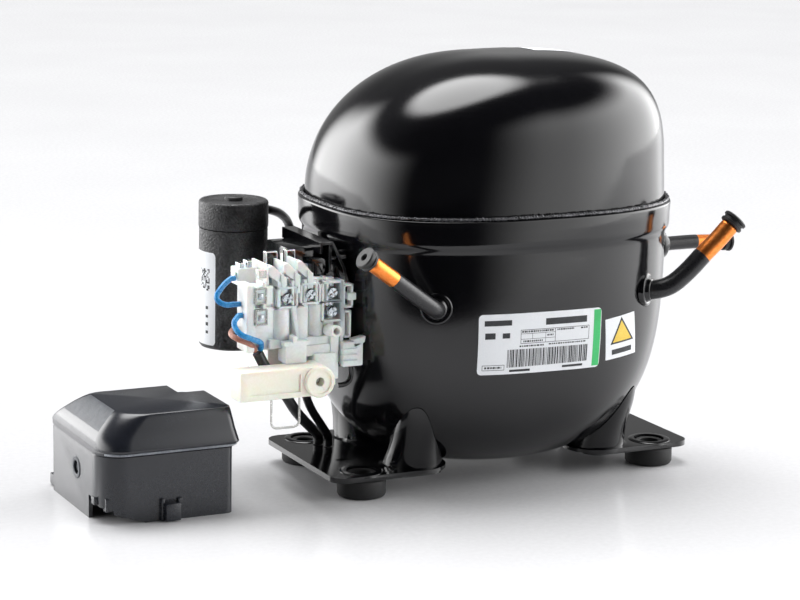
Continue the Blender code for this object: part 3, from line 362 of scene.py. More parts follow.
def makeBowl():
    h = housing
    rings = []
    count = 64
    for i in range(1, count + 1):
        s = i / count
        fall = 1 - s ** 2.2
        z = h["rimLow"] - 4.5 - (h["rimLow"] - 4.5 - h["bottom"]) * fall
        share, square = bowlShape(z)
        rings.append(ovalRing(h["halfX"] * share, h["halfY"] * share, square, z))
    # rolled step under the band, the band, and its top edge
    for z, out in ((127.6, 0.05), (128.6, 0.3), (129.6, 0.8), (130.5, 1.35), (131.6, 1.7), (133.0, 1.8), (138.0, 1.85),
                   (143.0, 2.1), (143.8, 1.9), (144.1, 1.4), (144.1, -0.9), (143.2, -1.0), (139.0, -1.0),
                   (130.0, -1.6), (124.0, -2.7)):
        rings.append(ovalRing(h["halfX"] + out, h["halfY"] + out, h["square"], z))
    for i in range(count - 1, 3, -3):   # inner wall
        s = i / count
        z = h["rimLow"] - 4.5 - (h["rimLow"] - 4.5 - h["bottom"]) * (1 - s ** 2.2)
        share, square = bowlShape(z)
        rings.append(ovalRing(h["halfX"] * share - h["wall"], h["halfY"] * share - h["wall"], square,
                              max(z, h["bottom"] + 0.3) + h["wall"] * (1 - share)))
    bm = bmesh.new()
    loft(bm, rings, True, True)
    recalc(bm)
    bowl = finishPiece("lowerHousing", bm, glossBlackEnamel, "housing", "lower_shell", 50)
    print("bowl", len(bowl.data.polygons))


def domeRing(u, grow=0.0):
    h = housing
    halfX = h["halfX"] + h["proud"] - h["wall"] - 0.3 + grow
    halfY = h["halfY"] + h["proud"] - h["wall"] - 0.3 + grow
    base = h["rimTop"] + 4.0
    p0, p1, q0, q1 = h["domeCurve"]
    blend = min(1.0, u / 0.25)
    square = h["square"] + (h["domeSquare"] - h["square"]) * blend
    ring = []
    full = ovalRing(halfX, halfY, square, base + (h["domeTop"] + grow - base) * u)
    for i, p in enumerate(full):
        c = math.cos(2 * math.pi * i / len(full))
        share = max(0.0, 1 - u ** (p0 + p1 * c)) ** (1 / (q0 + q1 * c))
        ring.append(Vector((h["domeLean"] * u * u + p.x * share, p.y * share, p.z)))
    return ring


def makeDome():
    h = housing
    halfX = h["halfX"] + h["proud"] - h["wall"] - 0.3
    halfY = h["halfY"] + h["proud"] - h["wall"] - 0.3
    rings = [ovalRing(halfX - h["wall"], halfY - h["wall"], h["square"], 135.2),
             ovalRing(halfX, halfY, h["square"], 135.2), ovalRing(halfX, halfY, h["square"], 142.0)]
    count = 60
    for k in range(count):
        rings.append(domeRing(1 - (1 - k / count) ** 3))
    bm = bmesh.new()
    loft(bm, rings, False, True)
    inner = [ovalRing(halfX - h["wall"], halfY - h["wall"], h["square"], 135.2)]
    for k in range(0, count, 3):
        inner.append(domeRing(1 - (1 - k / count) ** 3, -h["wall"]))
    loft(bm, inner, False, True)
    bmesh.ops.remove_doubles(bm, verts=bm.verts, dist=0.001)
    recalc(bm)
    dome = finishPiece("upperHousing", bm, glossBlackEnamel, "housing", "upper_shell", 50)
    print("dome", len(dome.data.polygons))


weldBead = {"radius": 1.05, "height": 145.0, "out": 0.3, "rippleMm": 1.6, "rippleSize": 0.8, "seed": 4}


def makeRippleTree(s, material):
    # ripples of a weld bead, set along the input curve
    tree = bpy.data.node_groups.new("weldRipples", "GeometryNodeTree")
    tree.interface.new_socket("Geometry", in_out="INPUT", socket_type="NodeSocketGeometry")
    for label, default in (("Spacing", s["rippleMm"] / 1000), ("Size", s["rippleSize"] / 1000)):
        socket = tree.interface.new_socket(label, in_out="INPUT", socket_type="NodeSocketFloat")
        socket.default_value = default
    tree.interface.new_socket("Geometry", in_out="OUTPUT", socket_type="NodeSocketGeometry")
    given = addNode(tree, "NodeGroupInput").outputs
    points = addNode(tree, "GeometryNodeCurveToPoints", {"Curve": given["Geometry"], "Length": given["Spacing"]},
                     mode="LENGTH")
    drop = addNode(tree, "GeometryNodeMeshIcoSphere", {"Radius": given["Size"], "Subdivisions": 2})
    jitter = addNode(tree, "FunctionNodeRandomValue", {2: 0.55, 3: 1.25, "Seed": s["seed"]}, data_type="FLOAT")
    drops = addNode(tree, "GeometryNodeInstanceOnPoints", {"Points": points.outputs["Points"],
                                                          "Instance": drop.outputs["Mesh"],
                                                          "Scale": jitter.outputs[1]})
    real = addNode(tree, "GeometryNodeRealizeInstances", {"Geometry": drops.outputs["Instances"]})
    smooth = addNode(tree, "GeometryNodeSetShadeSmooth", {"Geometry": real.outputs[0]})
    dressed = addNode(tree, "GeometryNodeSetMaterial", {"Geometry": smooth.outputs[0], "Material": material})
    addNode(tree, "NodeGroupOutput", {"Geometry": dressed.outputs[0]})
    return tree


def bakeNodes(name, source, tree, values, body, replaces=()):
    # runs a geometry tree on source and keeps the plain mesh
    mod = source.modifiers.new("nodes", "NODES")
    mod.node_group = tree
    for item in tree.interface.items_tree:
        if item.in_out == "INPUT" and item.name in values:
            mod[item.identifier] = values[item.name]
    depsgraph = bpy.context.evaluated_depsgraph_get()
    mesh = bpy.data.meshes.new_from_object(source.evaluated_get(depsgraph))
    source.modifiers.remove(mod)
    bpy.data.objects.remove(source, do_unlink=True)
    obj = bpy.data.objects.new(name, mesh)
    bpy.context.scene.collection.objects.link(obj)
    rideOn(obj, body, replaces)
    return obj


def curveThrough(points, cyclic=False):
    curve = bpy.data.curves.new("guide", "CURVE")
    curve.dimensions = "3D"
    spline = curve.splines.new("POLY")
    spline.points.add(len(points) - 1)
    for target, p in zip(spline.points, points):
        target.co = (*at(*p), 1.0)
    spline.use_cyclic_u = cyclic
    obj = bpy.data.objects.new("guide", curve)
    bpy.context.scene.collection.objects.link(obj)
    return obj


def makeWeld(s):
    h = housing
    rng = random.Random(s["seed"])
    sides = 10
    rings = []
    wobble = [rng.uniform(-0.12, 0.12) for _ in range(h["steps"])]
    for k in range(sides):
        a = 2 * math.pi * k / sides
        out = s["out"] + s["radius"] * math.cos(a)
        ring = ovalRing(h["halfX"] + out, h["halfY"] + out, h["square"], s["height"] + 0.8 * s["radius"] * math.sin(a))
        rings.append([p + Vector((0, 0, wobble[i] * math.sin(a))) for i, p in enumerate(ring)])
    bm = bmesh.new()
    loops = loft(bm, rings)
    for i in range(h["steps"]):
        j = (i + 1) % h["steps"]
        bm.faces.new((loops[-1][i], loops[-1][j], loops[0][j], loops[0][i]))
    recalc(bm)
    # the bead and its ripples carry the weld enamel with its painted highlight speckles
    finishPiece("weldBead", bm, weldEnamelPaintedSparkle, "housing", "weld_seam", 60)
    guide = curveThrough(ovalRing(h["halfX"] + s["out"] + 0.35, h["halfY"] + s["out"] + 0.35, h["square"],
                                  s["height"] + 0.35, count=400), True)
    bakeNodes("weldRipples", guide, makeRippleTree(s, weldEnamelPaintedSparkle),
              {"Spacing": s["rippleMm"] / 1000, "Size": s["rippleSize"] / 1000}, "housing")
    print("weld bead")


makeBowl()
makeDome()
makeWeld(weldBead)


# base plates, legs and feet
basePlate = {"outerX": 104.3, "innerX": 42.3, "halfY": 46.2, "corner": 8.0, "top": 12.4, "thick": 2.8, "hole": 8.0,
             "holeX": 85.0, "holeY": 35.0, "legX": 54.0, "legY": 29.5, "legRadius": 12.5, "legTop": 46.0,
             "legWaist": 30.0, "legEnd": 60.0,
             "legLean": (3.0, 15.5), "legFlare": 3.2, "slotLength": 7.5, "slotWidth": 2.6}


def roundedRect(x, y, radius, perCorner=8):
    # right back, left back, left front, right front
    radii = radius if isinstance(radius, (list, tuple)) else [radius] * 4
    pts = []
    corners = ((x[1], y[1], -1, -1, 0), (x[0], y[1], 1, -1, 90), (x[0], y[0], 1, 1, 180), (x[1], y[0], -1, 1, 270))
    for (cx, cy, sx, sy, start), r in zip(corners, radii):
        for k in range(perCorner + 1):
            a = math.radians(start + 90 * k / perCorner)
            pts.append((cx + sx * r + r * math.cos(a), cy + sy * r + r * math.sin(a)))
    return pts


def applyBoolean(target, other, operation):
    mod = target.modifiers.new("shape", "BOOLEAN")
    mod.operation = operation
    mod.object = other
    mod.solver = "EXACT"
    mesh = bpy.data.meshes.new_from_object(target.evaluated_get(bpy.context.evaluated_depsgraph_get()))
    target.modifiers.remove(mod)
    old = target.data
    target.data = mesh
    bpy.data.meshes.remove(old)
    return target


def looseObject(bm, name="tool"):
    recalc(bm)
    mesh = bpy.data.meshes.new(name)
    bm.to_mesh(mesh)
    bm.free()
    obj = bpy.data.objects.new(name, mesh)
    bpy.context.scene.collection.objects.link(obj)
    return obj


def shapeFrom(adds, cuts, name="blank"):
    # joins the solids in adds, takes away those in cuts, and returns the result as a bmesh in millimetres
    target = looseObject(adds[0], name)
    for operation, group in (("UNION", adds[1:]), ("DIFFERENCE", cuts)):
        for bm in group:
            tool = looseObject(bm)
            bpy.context.view_layer.update()
            applyBoolean(target, tool, operation)
            bpy.data.objects.remove(tool, do_unlink=True)
    out = bmesh.new()
    out.from_mesh(target.data)
    bpy.data.objects.remove(target, do_unlink=True)
    return out


def solidBlock(x, y, z, bevel=0.0):
    bm = bmesh.new()
    addBlock(bm, x, y, z, bevel)
    return bm


def solidTurned(profile, start=(0, 0, 0), direction=(0, 0, 1), steps=48, closed=False):
    bm = bmesh.new()
    addTurned(bm, profile, start, direction, steps, closed=closed)
    return bm


def solidLoft(rings):
    bm = bmesh.new()
    loft(bm, rings, True, True)
    return bm


def legRings(sideX, sideY, shrink, low):
    s = basePlate
    rings = []
    for k in range(15):
        z = low + (s["legEnd"] - low) * (1 - (1 - k / 14) ** 1.5)
        lean = (z - low) / (s["legTop"] - low)
        rise = max(0.0, (z - s["legWaist"]) / (s["legEnd"] - s["legWaist"]))
        size = max(0.6, (s["legRadius"] - shrink) * math.sqrt(max(0.0, 1 - rise * rise)))
        size += s["legFlare"] * max(0.0, 1 - max(0.0, z - s["top"]) / 20) ** 2
        cx = sideX * (s["legX"] + s["legLean"][0] * lean)
        cy = sideY * (s["legY"] + s["legLean"][1] * lean)
        rings.append([Vector((cx + size * math.cos(a), cy + size * math.sin(a), z))
                      for a in [2 * math.pi * i / 48 for i in range(48)]])
    return rings


def makePlate(name, side, node):
    s = basePlate
    x = sorted((side * s["outerX"], side * s["innerX"]))
    low = s["top"] - s["thick"]
    flat = roundedRect(x, (-s["halfY"], s["halfY"]), s["corner"])
    plate = solidLoft([[Vector((px, py, z)) for px, py in flat] for z in (low, s["top"])])
    legs = [solidLoft(legRings(side, d, 0, low + 1.2)) for d in (-1, 1)]
    # a soft fillet where each leg is pressed out of the plate
    fillets = [solidTurned([(0, low + 1), (17.5, low + 1), (17.5, s["top"]), (15.4, s["top"] + 0.5),
                            (13.9, s["top"] + 1.6),
                            (12.9, s["top"] + 3.4), (0, s["top"] + 3.4)], (side * s["legX"], d * s["legY"], 0))
               for d in (-1, 1)]
    collars = [solidTurned([(0, s["top"] - 1), (s["hole"] + 3.6, s["top"] - 1), (s["hole"] + 3.2, s["top"] + 0.15),
                            (s["hole"] + 2.2, s["top"] + 0.6), (s["hole"] + 0.8, s["top"] + 0.6), (0, s["top"] + 0.6)],
                           (side * s["holeX"], d * s["holeY"], 0)) for d in (-1, 1)]
    hollows = [solidLoft(legRings(side, d, 2.6, low - 3)) for d in (-1, 1)]
    h = housing
    space = []
    for i in range(1, 25):
        z = 120 - (120 - h["bottom"]) * (1 - (i / 24) ** 2.2)
        share, square = bowlShape(z)
        space.append(ovalRing(h["halfX"] * share + 0.35, h["halfY"] * share + 0.35, square, z - 0.2, count=96))
    holes = [solidTurned([(0, low - 3), (s["hole"], low - 3), (s["hole"], s["top"] + 4), (0, s["top"] + 4)],
                         (side * s["holeX"], d * s["holeY"], 0)) for d in (-1, 1)]
    slotX = side * 85.0
    slotY = -12.0 if side < 0 else 12.0
    slots = [solidBlock((slotX - s["slotLength"] / 2, slotX + s["slotLength"] / 2),
                        (slotY - s["slotWidth"] / 2, slotY + s["slotWidth"] / 2), (low - 3, s["top"] + 3), 0.8)]
    bm = shapeFrom([plate] + fillets + legs + collars, hollows + [solidLoft(space)] + holes + slots)
    finishPiece(name, bm, glossBlackEnamel, "housing", node, 32, bevel=0.45)


rubberFoot = {"radius": 12.5, "height": 9.3, "neck": 7.7, "bore": 5.0}


def makeFeet(s):
    for node, sx, sy in (("front_left", -1, -1), ("back_left", -1, 1), ("front_right", 1, -1), ("back_right", 1, 1)):
        bm = bmesh.new()
        top = s["height"] + 2.6
        r = s["radius"]
        addTurned(bm, [(s["bore"], 0), (r - 1.6, 0), (r - 0.5, 0.4), (r, 1.4), (r, s["height"] - 1.2),
                       (r - 0.4, s["height"] - 0.3), (r - 1.2, s["height"]), (s["neck"], s["height"]),
                       (s["neck"], top - 0.4), (s["neck"] - 0.5, top), (s["bore"] + 0.5, top), (s["bore"], top - 0.4)],
                  (sx * 85.0, sy * 35.0, 0), closed=True, steps=64)
        recalc(bm)
        finishPiece("rubberFoot_" + node, bm, mouldedRubber, "housing", "rubber_foot_" + node, 40)


makePlate("basePlateLeft", -1, "base_plate_left")
makePlate("basePlateRight", 1, "base_plate_right")
makeFeet(rubberFoot)
print("base")


# tube stubs and plugs
tubes = {
    "suction": {"points": ((53.3, -53.8, 101), (60, -61.5, 101.2), (66.2, -67.6, 101.7), (73, -70.2, 104.2),
                           (81.5, -71.3, 110.6),
                           (90.6, -72.4, 119.6), (97.4, -73.2, 126.0), (104.5, -74, 133.5)),
                "radius": 4.8, "bare": 0.70, "collar": (62.3, -64.3, 101.2, 7.2)},
    "discharge": {"points": ((79, -33.6, 118), (88, -33.9, 118), (96, -34, 118.1), (108, -34.3, 118.2),
                             (117, -34.7, 117.9), (125.5, -35, 117.5)),
                  "radius": 3.6, "bare": 0.66, "collar": (89.0, -33.9, 118, 5.6)},
    "process": {"points": ((-54.5, -54, 100.3), (-59.2, -63.8, 100.4), (-62.0, -69.5, 100.8), (-65.8, -73.2, 102.8),
                           (-71, -75.0, 106.1), (-84, -76.6, 115.5), (-102.5, -79.1, 128.9)),
                "radius": 4.0, "bare": 0.76, "collar": (-60.2, -65.9, 100.4, 6.6)}}
plugShape = {"cap": 1.6, "length": 5.0, "gap": 0.3, "stemDepth": 10.5, "wall": 0.9, "dimple": 1.7}


def makeTubeStub(name, s):
    path = followPath(s["points"], 8)
    lengths = [0.0]
    for a, b in zip(path, path[1:]):
        lengths.append(lengths[-1] + (b - a).length)
    bareFrom = s["bare"] * lengths[-1]
    r = s["radius"]
    painted = [p for p, l in zip(path, lengths) if l < bareFrom]
    k = len(painted)
    f = (bareFrom - lengths[k - 1]) / (lengths[k] - lengths[k - 1])
    border = path[k - 1].lerp(path[k], f)
    wall = plugShape["wall"]
    end = path[-1]
    back = (path[-2] - path[-1]).normalized()
    bm = bmesh.new()
    addTube(bm, painted + [border], [r + 0.12] * len(painted) + [r + 0.08], 40, 0, (True, False))
    bare = [border] + path[k:]
    loops = addTube(bm, bare[:-1] + [end + back * 0.3, end], [r] * (len(bare)) + [r - 0.3], 40, 1, (False, False))
    bore = addTube(bm, [end, end + back * 0.4, end + back * 11.5], [r - wall + 0.25, r - wall, r - wall], 40, 1,
                   (False, True))
    rim = loops[-1]
    mouth = bore[0]
    # the bore's first ring is matched to the rim's nearest point, then the end face joins them
    start = min(range(len(mouth)), key=lambda i: (mouth[i].co - rim[0].co).length)
    ahead, behind = [(mouth[(start + k) % 40].co - rim[3].co).length for k in (3, -3)]
    direction = 1 if ahead < behind else -1
    for i in range(40):
        a, b = mouth[(start + direction * i) % 40], mouth[(start + direction * (i + 1)) % 40]
        bm.faces.new((rim[i], rim[(i + 1) % 40], b, a)).material_index = 1
    bmesh.ops.remove_doubles(bm, verts=bm.verts, dist=0.005)
    recalc(bm)
    finishPiece(name + "Tube", bm, [tubeEnamel, drawnCopper], "housing", name + "_tube", 45)
    cx, cy, cz, cr = s["collar"]
    outward = (Vector(s["points"][1]) - Vector(s["points"][0])).normalized()
    bm = bmesh.new()
    addTurned(bm, [(r + 0.15, -2.0), (cr + 1.6, -2.0), (cr + 1.5, 0.2), (cr + 0.9, 0.75), (cr, 0.9), (cr - 0.7, 0.5),
                   (cr - 1.1, 0.9), (r + 0.9, 2.4), (r + 0.3, 2.9), (r + 0.15, 2.9)], (cx, cy, cz), outward, 56,
              closed=True)
    recalc(bm)
    finishPiece(name + "Collar", bm, glossBlackEnamel, "housing", sharpAngle=60)


def makePlug(name, s):
    points = s["points"]
    end = Vector(points[-1])
    out = (followPath(points, 8)[-1] - followPath(points, 8)[-2]).normalized()
    p = plugShape
    cap = s["radius"] + p["cap"]
    stem = s["radius"] - p["wall"] - 0.3
    top = p["gap"] + p["length"]
    profile = [(0, -p["stemDepth"]), (stem - 0.4, -p["stemDepth"]), (stem, -p["stemDepth"] + 0.6), (stem, p["gap"]),
               (cap - 0.9, p["gap"]), (cap - 0.3, p["gap"] + 0.3), (cap - 0.2, p["gap"] + 1.4),
               (cap - 0.8, p["gap"] + 1.9),
               (cap - 0.8, top - 2.0), (cap, top - 1.6), (cap + 0.1, top - 0.6), (cap - 0.5, top),
               (p["dimple"] + 0.3, top), (p["dimple"], top - 0.3), (p["dimple"] - 0.2, top - 3.2), (0, top - 3.2)]
    bm = bmesh.new()
    addTurned(bm, profile, end, out, 48)
    recalc(bm)
    finishPiece(name + "Plug", bm, plugRubber, name + "_plug", name + "_plug", 45)


for label, settings in tubes.items():
    makeTubeStub(label, settings)
    makePlug(label, settings)
print("tubes")


# stickers, printed with plain bars where a maker's words would stand
ratingLabel = {"corners": ((-39.7, 97.0), (29.8, 96.2), (-38.8, 65.6), (30.7, 64.6)), "size": (69.4, 31.5),
               "corner": 2.2,
               "stripe": 4.6, "seed": 12}
smallSticker = {"corners": ((32.6, 89.2), (52.3, 91.4), (35.0, 67.2), (56.2, 68.6)), "size": (20.5, 22.5),
                "corner": 0.3}


def labelPoint(s, u, v, proud):
    # u runs to the right and v down, in millimetres on the sticker
    (ax, az), (bx, bz), (cx, cz), (dx, dz) = s["corners"]
    p = u / s["size"][0]
    q = v / s["size"][1]
    x = (ax * (1 - p) + bx * p) * (1 - q) + (cx * (1 - p) + dx * p) * q
    z = (az * (1 - p) + bz * p) * (1 - q) + (cz * (1 - p) + dz * p) * q
    return bowlPoint(x, z, proud)


def addPatch(bm, s, u, v, proud, material=0, corner=0.0, step=2.0):
    # a patch on the bowl's surface, u and v are its sides in millimetres on the sticker
    rows = [v[0]]
    if corner:
        rows += [v[0] + corner * (1 - math.cos(math.radians(a))) for a in (20, 40, 60, 90)]
    span = v[1] - v[0] - 2 * corner
    rows += [v[0] + corner + span * k / max(1, round(span / step)) for k in range(1, max(1, round(span / step)) + 1)]
    if corner:
        rows += [v[1] - corner * (1 - math.cos(math.radians(a))) for a in (60, 40, 20, 0)]
    columns = max(1, round((u[1] - u[0]) / step))
    grid = []
    for row in rows:
        nearest = min(row - v[0], v[1] - row)
        inset = corner - math.sqrt(max(0.0, corner ** 2 - (corner - nearest) ** 2)) if nearest < corner else 0.0
        grid.append([bm.verts.new(labelPoint(s, u[0] + inset + (u[1] - u[0] - 2 * inset) * k / columns, row, proud))
                     for k in range(columns + 1)])
    for top, low in zip(grid, grid[1:]):
        for k in range(columns):
            bm.faces.new((low[k], low[k + 1], top[k + 1], top[k])).material_index = material
    return grid


def makeRatingLabel(s):
    width, height = s["size"]
    bm = bmesh.new()
    addPatch(bm, s, (0, width), (0, height), 0.12, 0, s["corner"])
    ink = 0.17
    addPatch(bm, s, (width - s["stripe"], width - 0.35), (0.9, height - 0.9), ink, 2)
    bars = [((3.0, 17.5), (3.2, 6.0)), ((36.5, 60.5), (3.4, 6.8)),            # name and type, as bars
            ((3.4, 8.8), (9.6, 12.8)), ((12.6, 16.6), (9.9, 12.6)),           # approval marks, as blocks
            ((22.5, 62.0), (8.6, 8.85)), ((22.5, 62.0), (15.6, 15.85)), ((22.5, 22.75), (8.6, 15.85)),
            ((61.75, 62.0), (8.6, 15.85)), ((42.0, 42.25), (8.6, 15.85)), ((22.5, 42.0), (10.6, 10.8)),
            ((22.5, 42.0), (13.4, 13.6)), ((29.0, 29.2), (10.8, 13.4)), ((36.5, 36.7), (10.8, 15.6)),
            ((2.4, 14.2), (26.4, 26.65)), ((2.4, 14.2), (29.0, 29.25)), ((2.4, 2.65), (26.4, 29.2)),
            ((13.95, 14.2), (26.4, 29.2)), ((17.0, 28.5), (29.2, 30.4)), ((47.0, 59.0), (28.7, 29.9))]
    for u, v in bars:
        addPatch(bm, s, u, v, ink, 1)
    rng = random.Random(s["seed"])
    for start, end, v, size in ((23.2, 41.0, 9.2, 0.9), (43.2, 53.0, 9.2, 0.8), (57.0, 61.0, 9.2, 0.8),
                                (24.0, 35.0, 14.2, 0.9),
                                (37.5, 41.0, 11.6, 0.9), (22.0, 36.0, 16.7, 0.8), (38.5, 60.5, 16.5, 0.7),
                                (3.6, 12.6, 27.3, 1.0)):
        u = start
        while u < end:                                                       # small print, as dashes
            dash = rng.uniform(0.5, 1.5)
            addPatch(bm, s, (u, min(u + dash, end)), (v, v + size), ink, 1)
            u += dash + rng.uniform(0.25, 0.45)
    u = 15.5
    while u < 61.5:                                                          # bars of a scanning code
        bar = rng.choice((0.28, 0.28, 0.5, 0.75))
        addPatch(bm, s, (u, u + bar), (18.6, 28.0 - 0.6 * (u - 15.5) / 46), ink, 1, step=5)
        u += bar + rng.choice((0.3, 0.3, 0.55))
    finishPiece("ratingLabel", bm, [whitePaper, printInk, greenInk], "housing", sharpAngle=180)


def makeSmallSticker(s):
    width, height = s["size"]
    bm = bmesh.new()
    addPatch(bm, s, (0, width), (0, height), 0.12, 0, s["corner"])
    for scale, proud, index in ((1.0, 0.17, 1), (0.80, 0.21, 2)):              # plain bordered triangle
        cx, cy, reach = 11.0, 9.9, 9.2 * scale
        corners = [(cx + reach * math.cos(math.radians(a)), cy - reach * math.sin(math.radians(a)))
                   for a in (90, 210, 330)]
        rows = 10
        grid = []
        for k in range(rows + 1):
            t = k / rows
            left = [corners[0][i] + (corners[1][i] - corners[0][i]) * t for i in (0, 1)]
            right = [corners[0][i] + (corners[2][i] - corners[0][i]) * t for i in (0, 1)]
            grid.append([bm.verts.new(labelPoint(s, left[0] + (right[0] - left[0]) * m / max(k, 1), left[1], proud))
                         for m in range(k + 1)])
        for k in range(rows):
            for m in range(k + 1):
                bm.faces.new((grid[k][m], grid[k + 1][m], grid[k + 1][m + 1])).material_index = index
                if m < k:
                    bm.faces.new((grid[k][m], grid[k + 1][m + 1], grid[k][m + 1])).material_index = index
    addPatch(bm, s, (4.0, 17.4), (17.4, 20.2), 0.17, 1)
    finishPiece("smallSticker", bm, [whitePaper, printInk, yellowInk], "housing", sharpAngle=180)


domeSticker = {"x": (29.0, 53.0), "y": (2.0, 20.0), "proud": 0.12, "columns": 12, "rows": 9}


def domePoint(x, y, proud):
    # the dome's height over x and y, found by halving
    low, high = 0.0, 1.0
    for _ in range(40):
        u = (low + high) / 2
        lean = housing["domeLean"] * u * u
        angle = math.atan2(y, x - lean) % (2 * math.pi)
        near = min(domeRing(u), key=lambda q: abs((math.atan2(q.y, q.x - lean) - angle + math.pi) % (2 * math.pi)
                                                  - math.pi))
        inside = math.hypot(near.x - lean, near.y) > math.hypot(x - lean, y)
        low, high = (u, high) if inside else (low, u)
    base = housing["rimTop"] + 4.0
    return Vector((x, y, base + (housing["domeTop"] - base) * low + proud))


def makeDomeSticker(s):
    bm = bmesh.new()
    grid = []
    for j in range(s["rows"] + 1):
        y = s["y"][0] + (s["y"][1] - s["y"][0]) * j / s["rows"]
        grid.append([bm.verts.new(domePoint(s["x"][0] + (s["x"][1] - s["x"][0]) * i / s["columns"], y, s["proud"]))
                     for i in range(s["columns"] + 1)])
    for near, far in zip(grid, grid[1:]):
        for i in range(s["columns"]):
            bm.faces.new((near[i], near[i + 1], far[i + 1], far[i]))
    finishPiece("domeSticker", bm, whitePaper, "housing", sharpAngle=180)


makeDomeSticker(domeSticker)
makeRatingLabel(ratingLabel)
makeSmallSticker(smallSticker)
print("stickers")


# run capacitor
capacitor = {"x": -125.8, "y": 38.0, "radius": 18.0, "low": 66.0, "lid": 128.6, "top": 142.8, "labelFrom": -112.0,
             "labelTo": -27.0, "facing": -26.2, "labelLow": 68.5, "labelHigh": 117.0, "seed": 5}


def makeCapacitor(s):
    r = s["radius"]
    centre = (s["x"], s["y"], 0)
    bm = bmesh.new()
    addTurned(bm, [(0, s["low"]), (r - 2.6, s["low"]), (r - 1.2, s["low"] + 0.4), (r - 0.45, s["low"] + 1.4),
                   (r - 0.3, s["low"] + 2.6), (r - 0.3, s["lid"] - 0.3), (0, s["lid"] - 0.3)], centre, steps=96)
    recalc(bm)
    finishPiece("capacitorCan", bm, grainedPlastic, "housing", "capacitor_can", 40)
    bm = bmesh.new()
    addTurned(bm, [(0, s["lid"]), (r - 0.5, s["lid"]), (r - 0.1, s["lid"] + 0.3), (r, s["lid"] + 0.8),
                   (r, s["top"] - 1.6), (r - 0.3, s["top"] - 0.7), (r - 1.1, s["top"] - 0.1), (r - 2.2, s["top"]),
                   (r - 3.0, s["top"] - 0.5), (4.9, s["top"] - 0.5), (4.7, s["top"] + 1.2), (4.3, s["top"] + 1.5),
                   (0, s["top"] + 1.5)], centre, steps=96)
    recalc(bm)
    finishPiece("capacitorLid", bm, grainedPlastic, "housing", "capacitor_lid", 40)
    a = math.radians(s["facing"])
    toFront = Vector((math.sin(a), -math.cos(a), 0))
    toRight = Vector((math.cos(a), math.sin(a), 0))

    def onCan(angle, z, proud):
        angle = math.radians(angle)
        return Vector((s["x"], s["y"], z)) + (toFront * math.cos(angle) + toRight * math.sin(angle)) * (r - 0.3 + proud)

    def patch(angles, z, proud, material):
        columns = max(1, round((angles[1] - angles[0]) / 4))
        top = [bm.verts.new(onCan(angles[0] + (angles[1] - angles[0]) * k / columns, z[1], proud))
               for k in range(columns + 1)]
        low = [bm.verts.new(onCan(angles[0] + (angles[1] - angles[0]) * k / columns, z[0], proud))
               for k in range(columns + 1)]
        for k in range(columns):
            bm.faces.new((low[k], low[k + 1], top[k + 1], top[k])).material_index = material

    bm = bmesh.new()
    corner = 7.0
    for k in range(6):                                     # rounded ends of the sticker, in thin rows
        rows = ((s["labelHigh"] - k * 0.4 - 0.4, s["labelHigh"] - k * 0.4),
                (s["labelLow"] + k * 0.4, s["labelLow"] + k * 0.4 + 0.4))
        inset = corner * (1 - math.sin(math.acos(max(0.0, 1 - (k + 0.5) / 6)))) * 0.9
        for row in rows:
            patch((s["labelFrom"] + inset, s["labelTo"] - inset), row, 0.12, 0)
    patch((s["labelFrom"], s["labelTo"]), (s["labelLow"] + 2.4, s["labelHigh"] - 2.4), 0.12, 0)
    rng = random.Random(s["seed"])
    for row in range(12):                                  # square code, as random cells
        for column in range(9):
            if rng.random() < 0.5:
                a0 = -62 + column * 2.6
                z0 = 97 + row * 0.95
                patch((a0, a0 + 2.5), (z0, z0 + 0.9), 0.17, 1)
    for z, reach in ((74.5, 1.5), (78.6, 1.8), (82.8, 1.4), (87.2, 1.6)):
        patch((-48, -42), (z, z + reach), 0.17, 1)
    finishPiece("capacitorLabel", bm, [whitePaper, printInk], "housing", sharpAngle=180)
    # strap and its arm to the frame
    inner = r
    band = solidTurned([(inner, 84), (inner + 1.6, 84), (inner + 1.6, 94), (inner, 94)], centre, steps=96, closed=True)
    arm = solidBlock((s["x"], -100.1), (s["y"] - inner - 1.6, s["y"] - inner), (84, 94))
    openSide = solidBlock((s["x"] - 30, s["x"] + 4), (s["y"] - 30, s["y"] + 30), (80, 98))
    finishPiece("capacitorStrap", shapeFrom([band, arm], [openSide]), glossBlackEnamel, "housing", "capacitor_bracket",
                35, bevel=0.3)


makeCapacitor(capacitor)
print("capacitor")


# leads
def makeLead(name, points, radius, material, node, perSpan=8, close=(True, True)):
    bm = bmesh.new()
    addTube(bm, followPath(points, perSpan), radius, 20, 0, close)
    recalc(bm)
    return finishPiece(name, bm, material, "housing", node, 60)


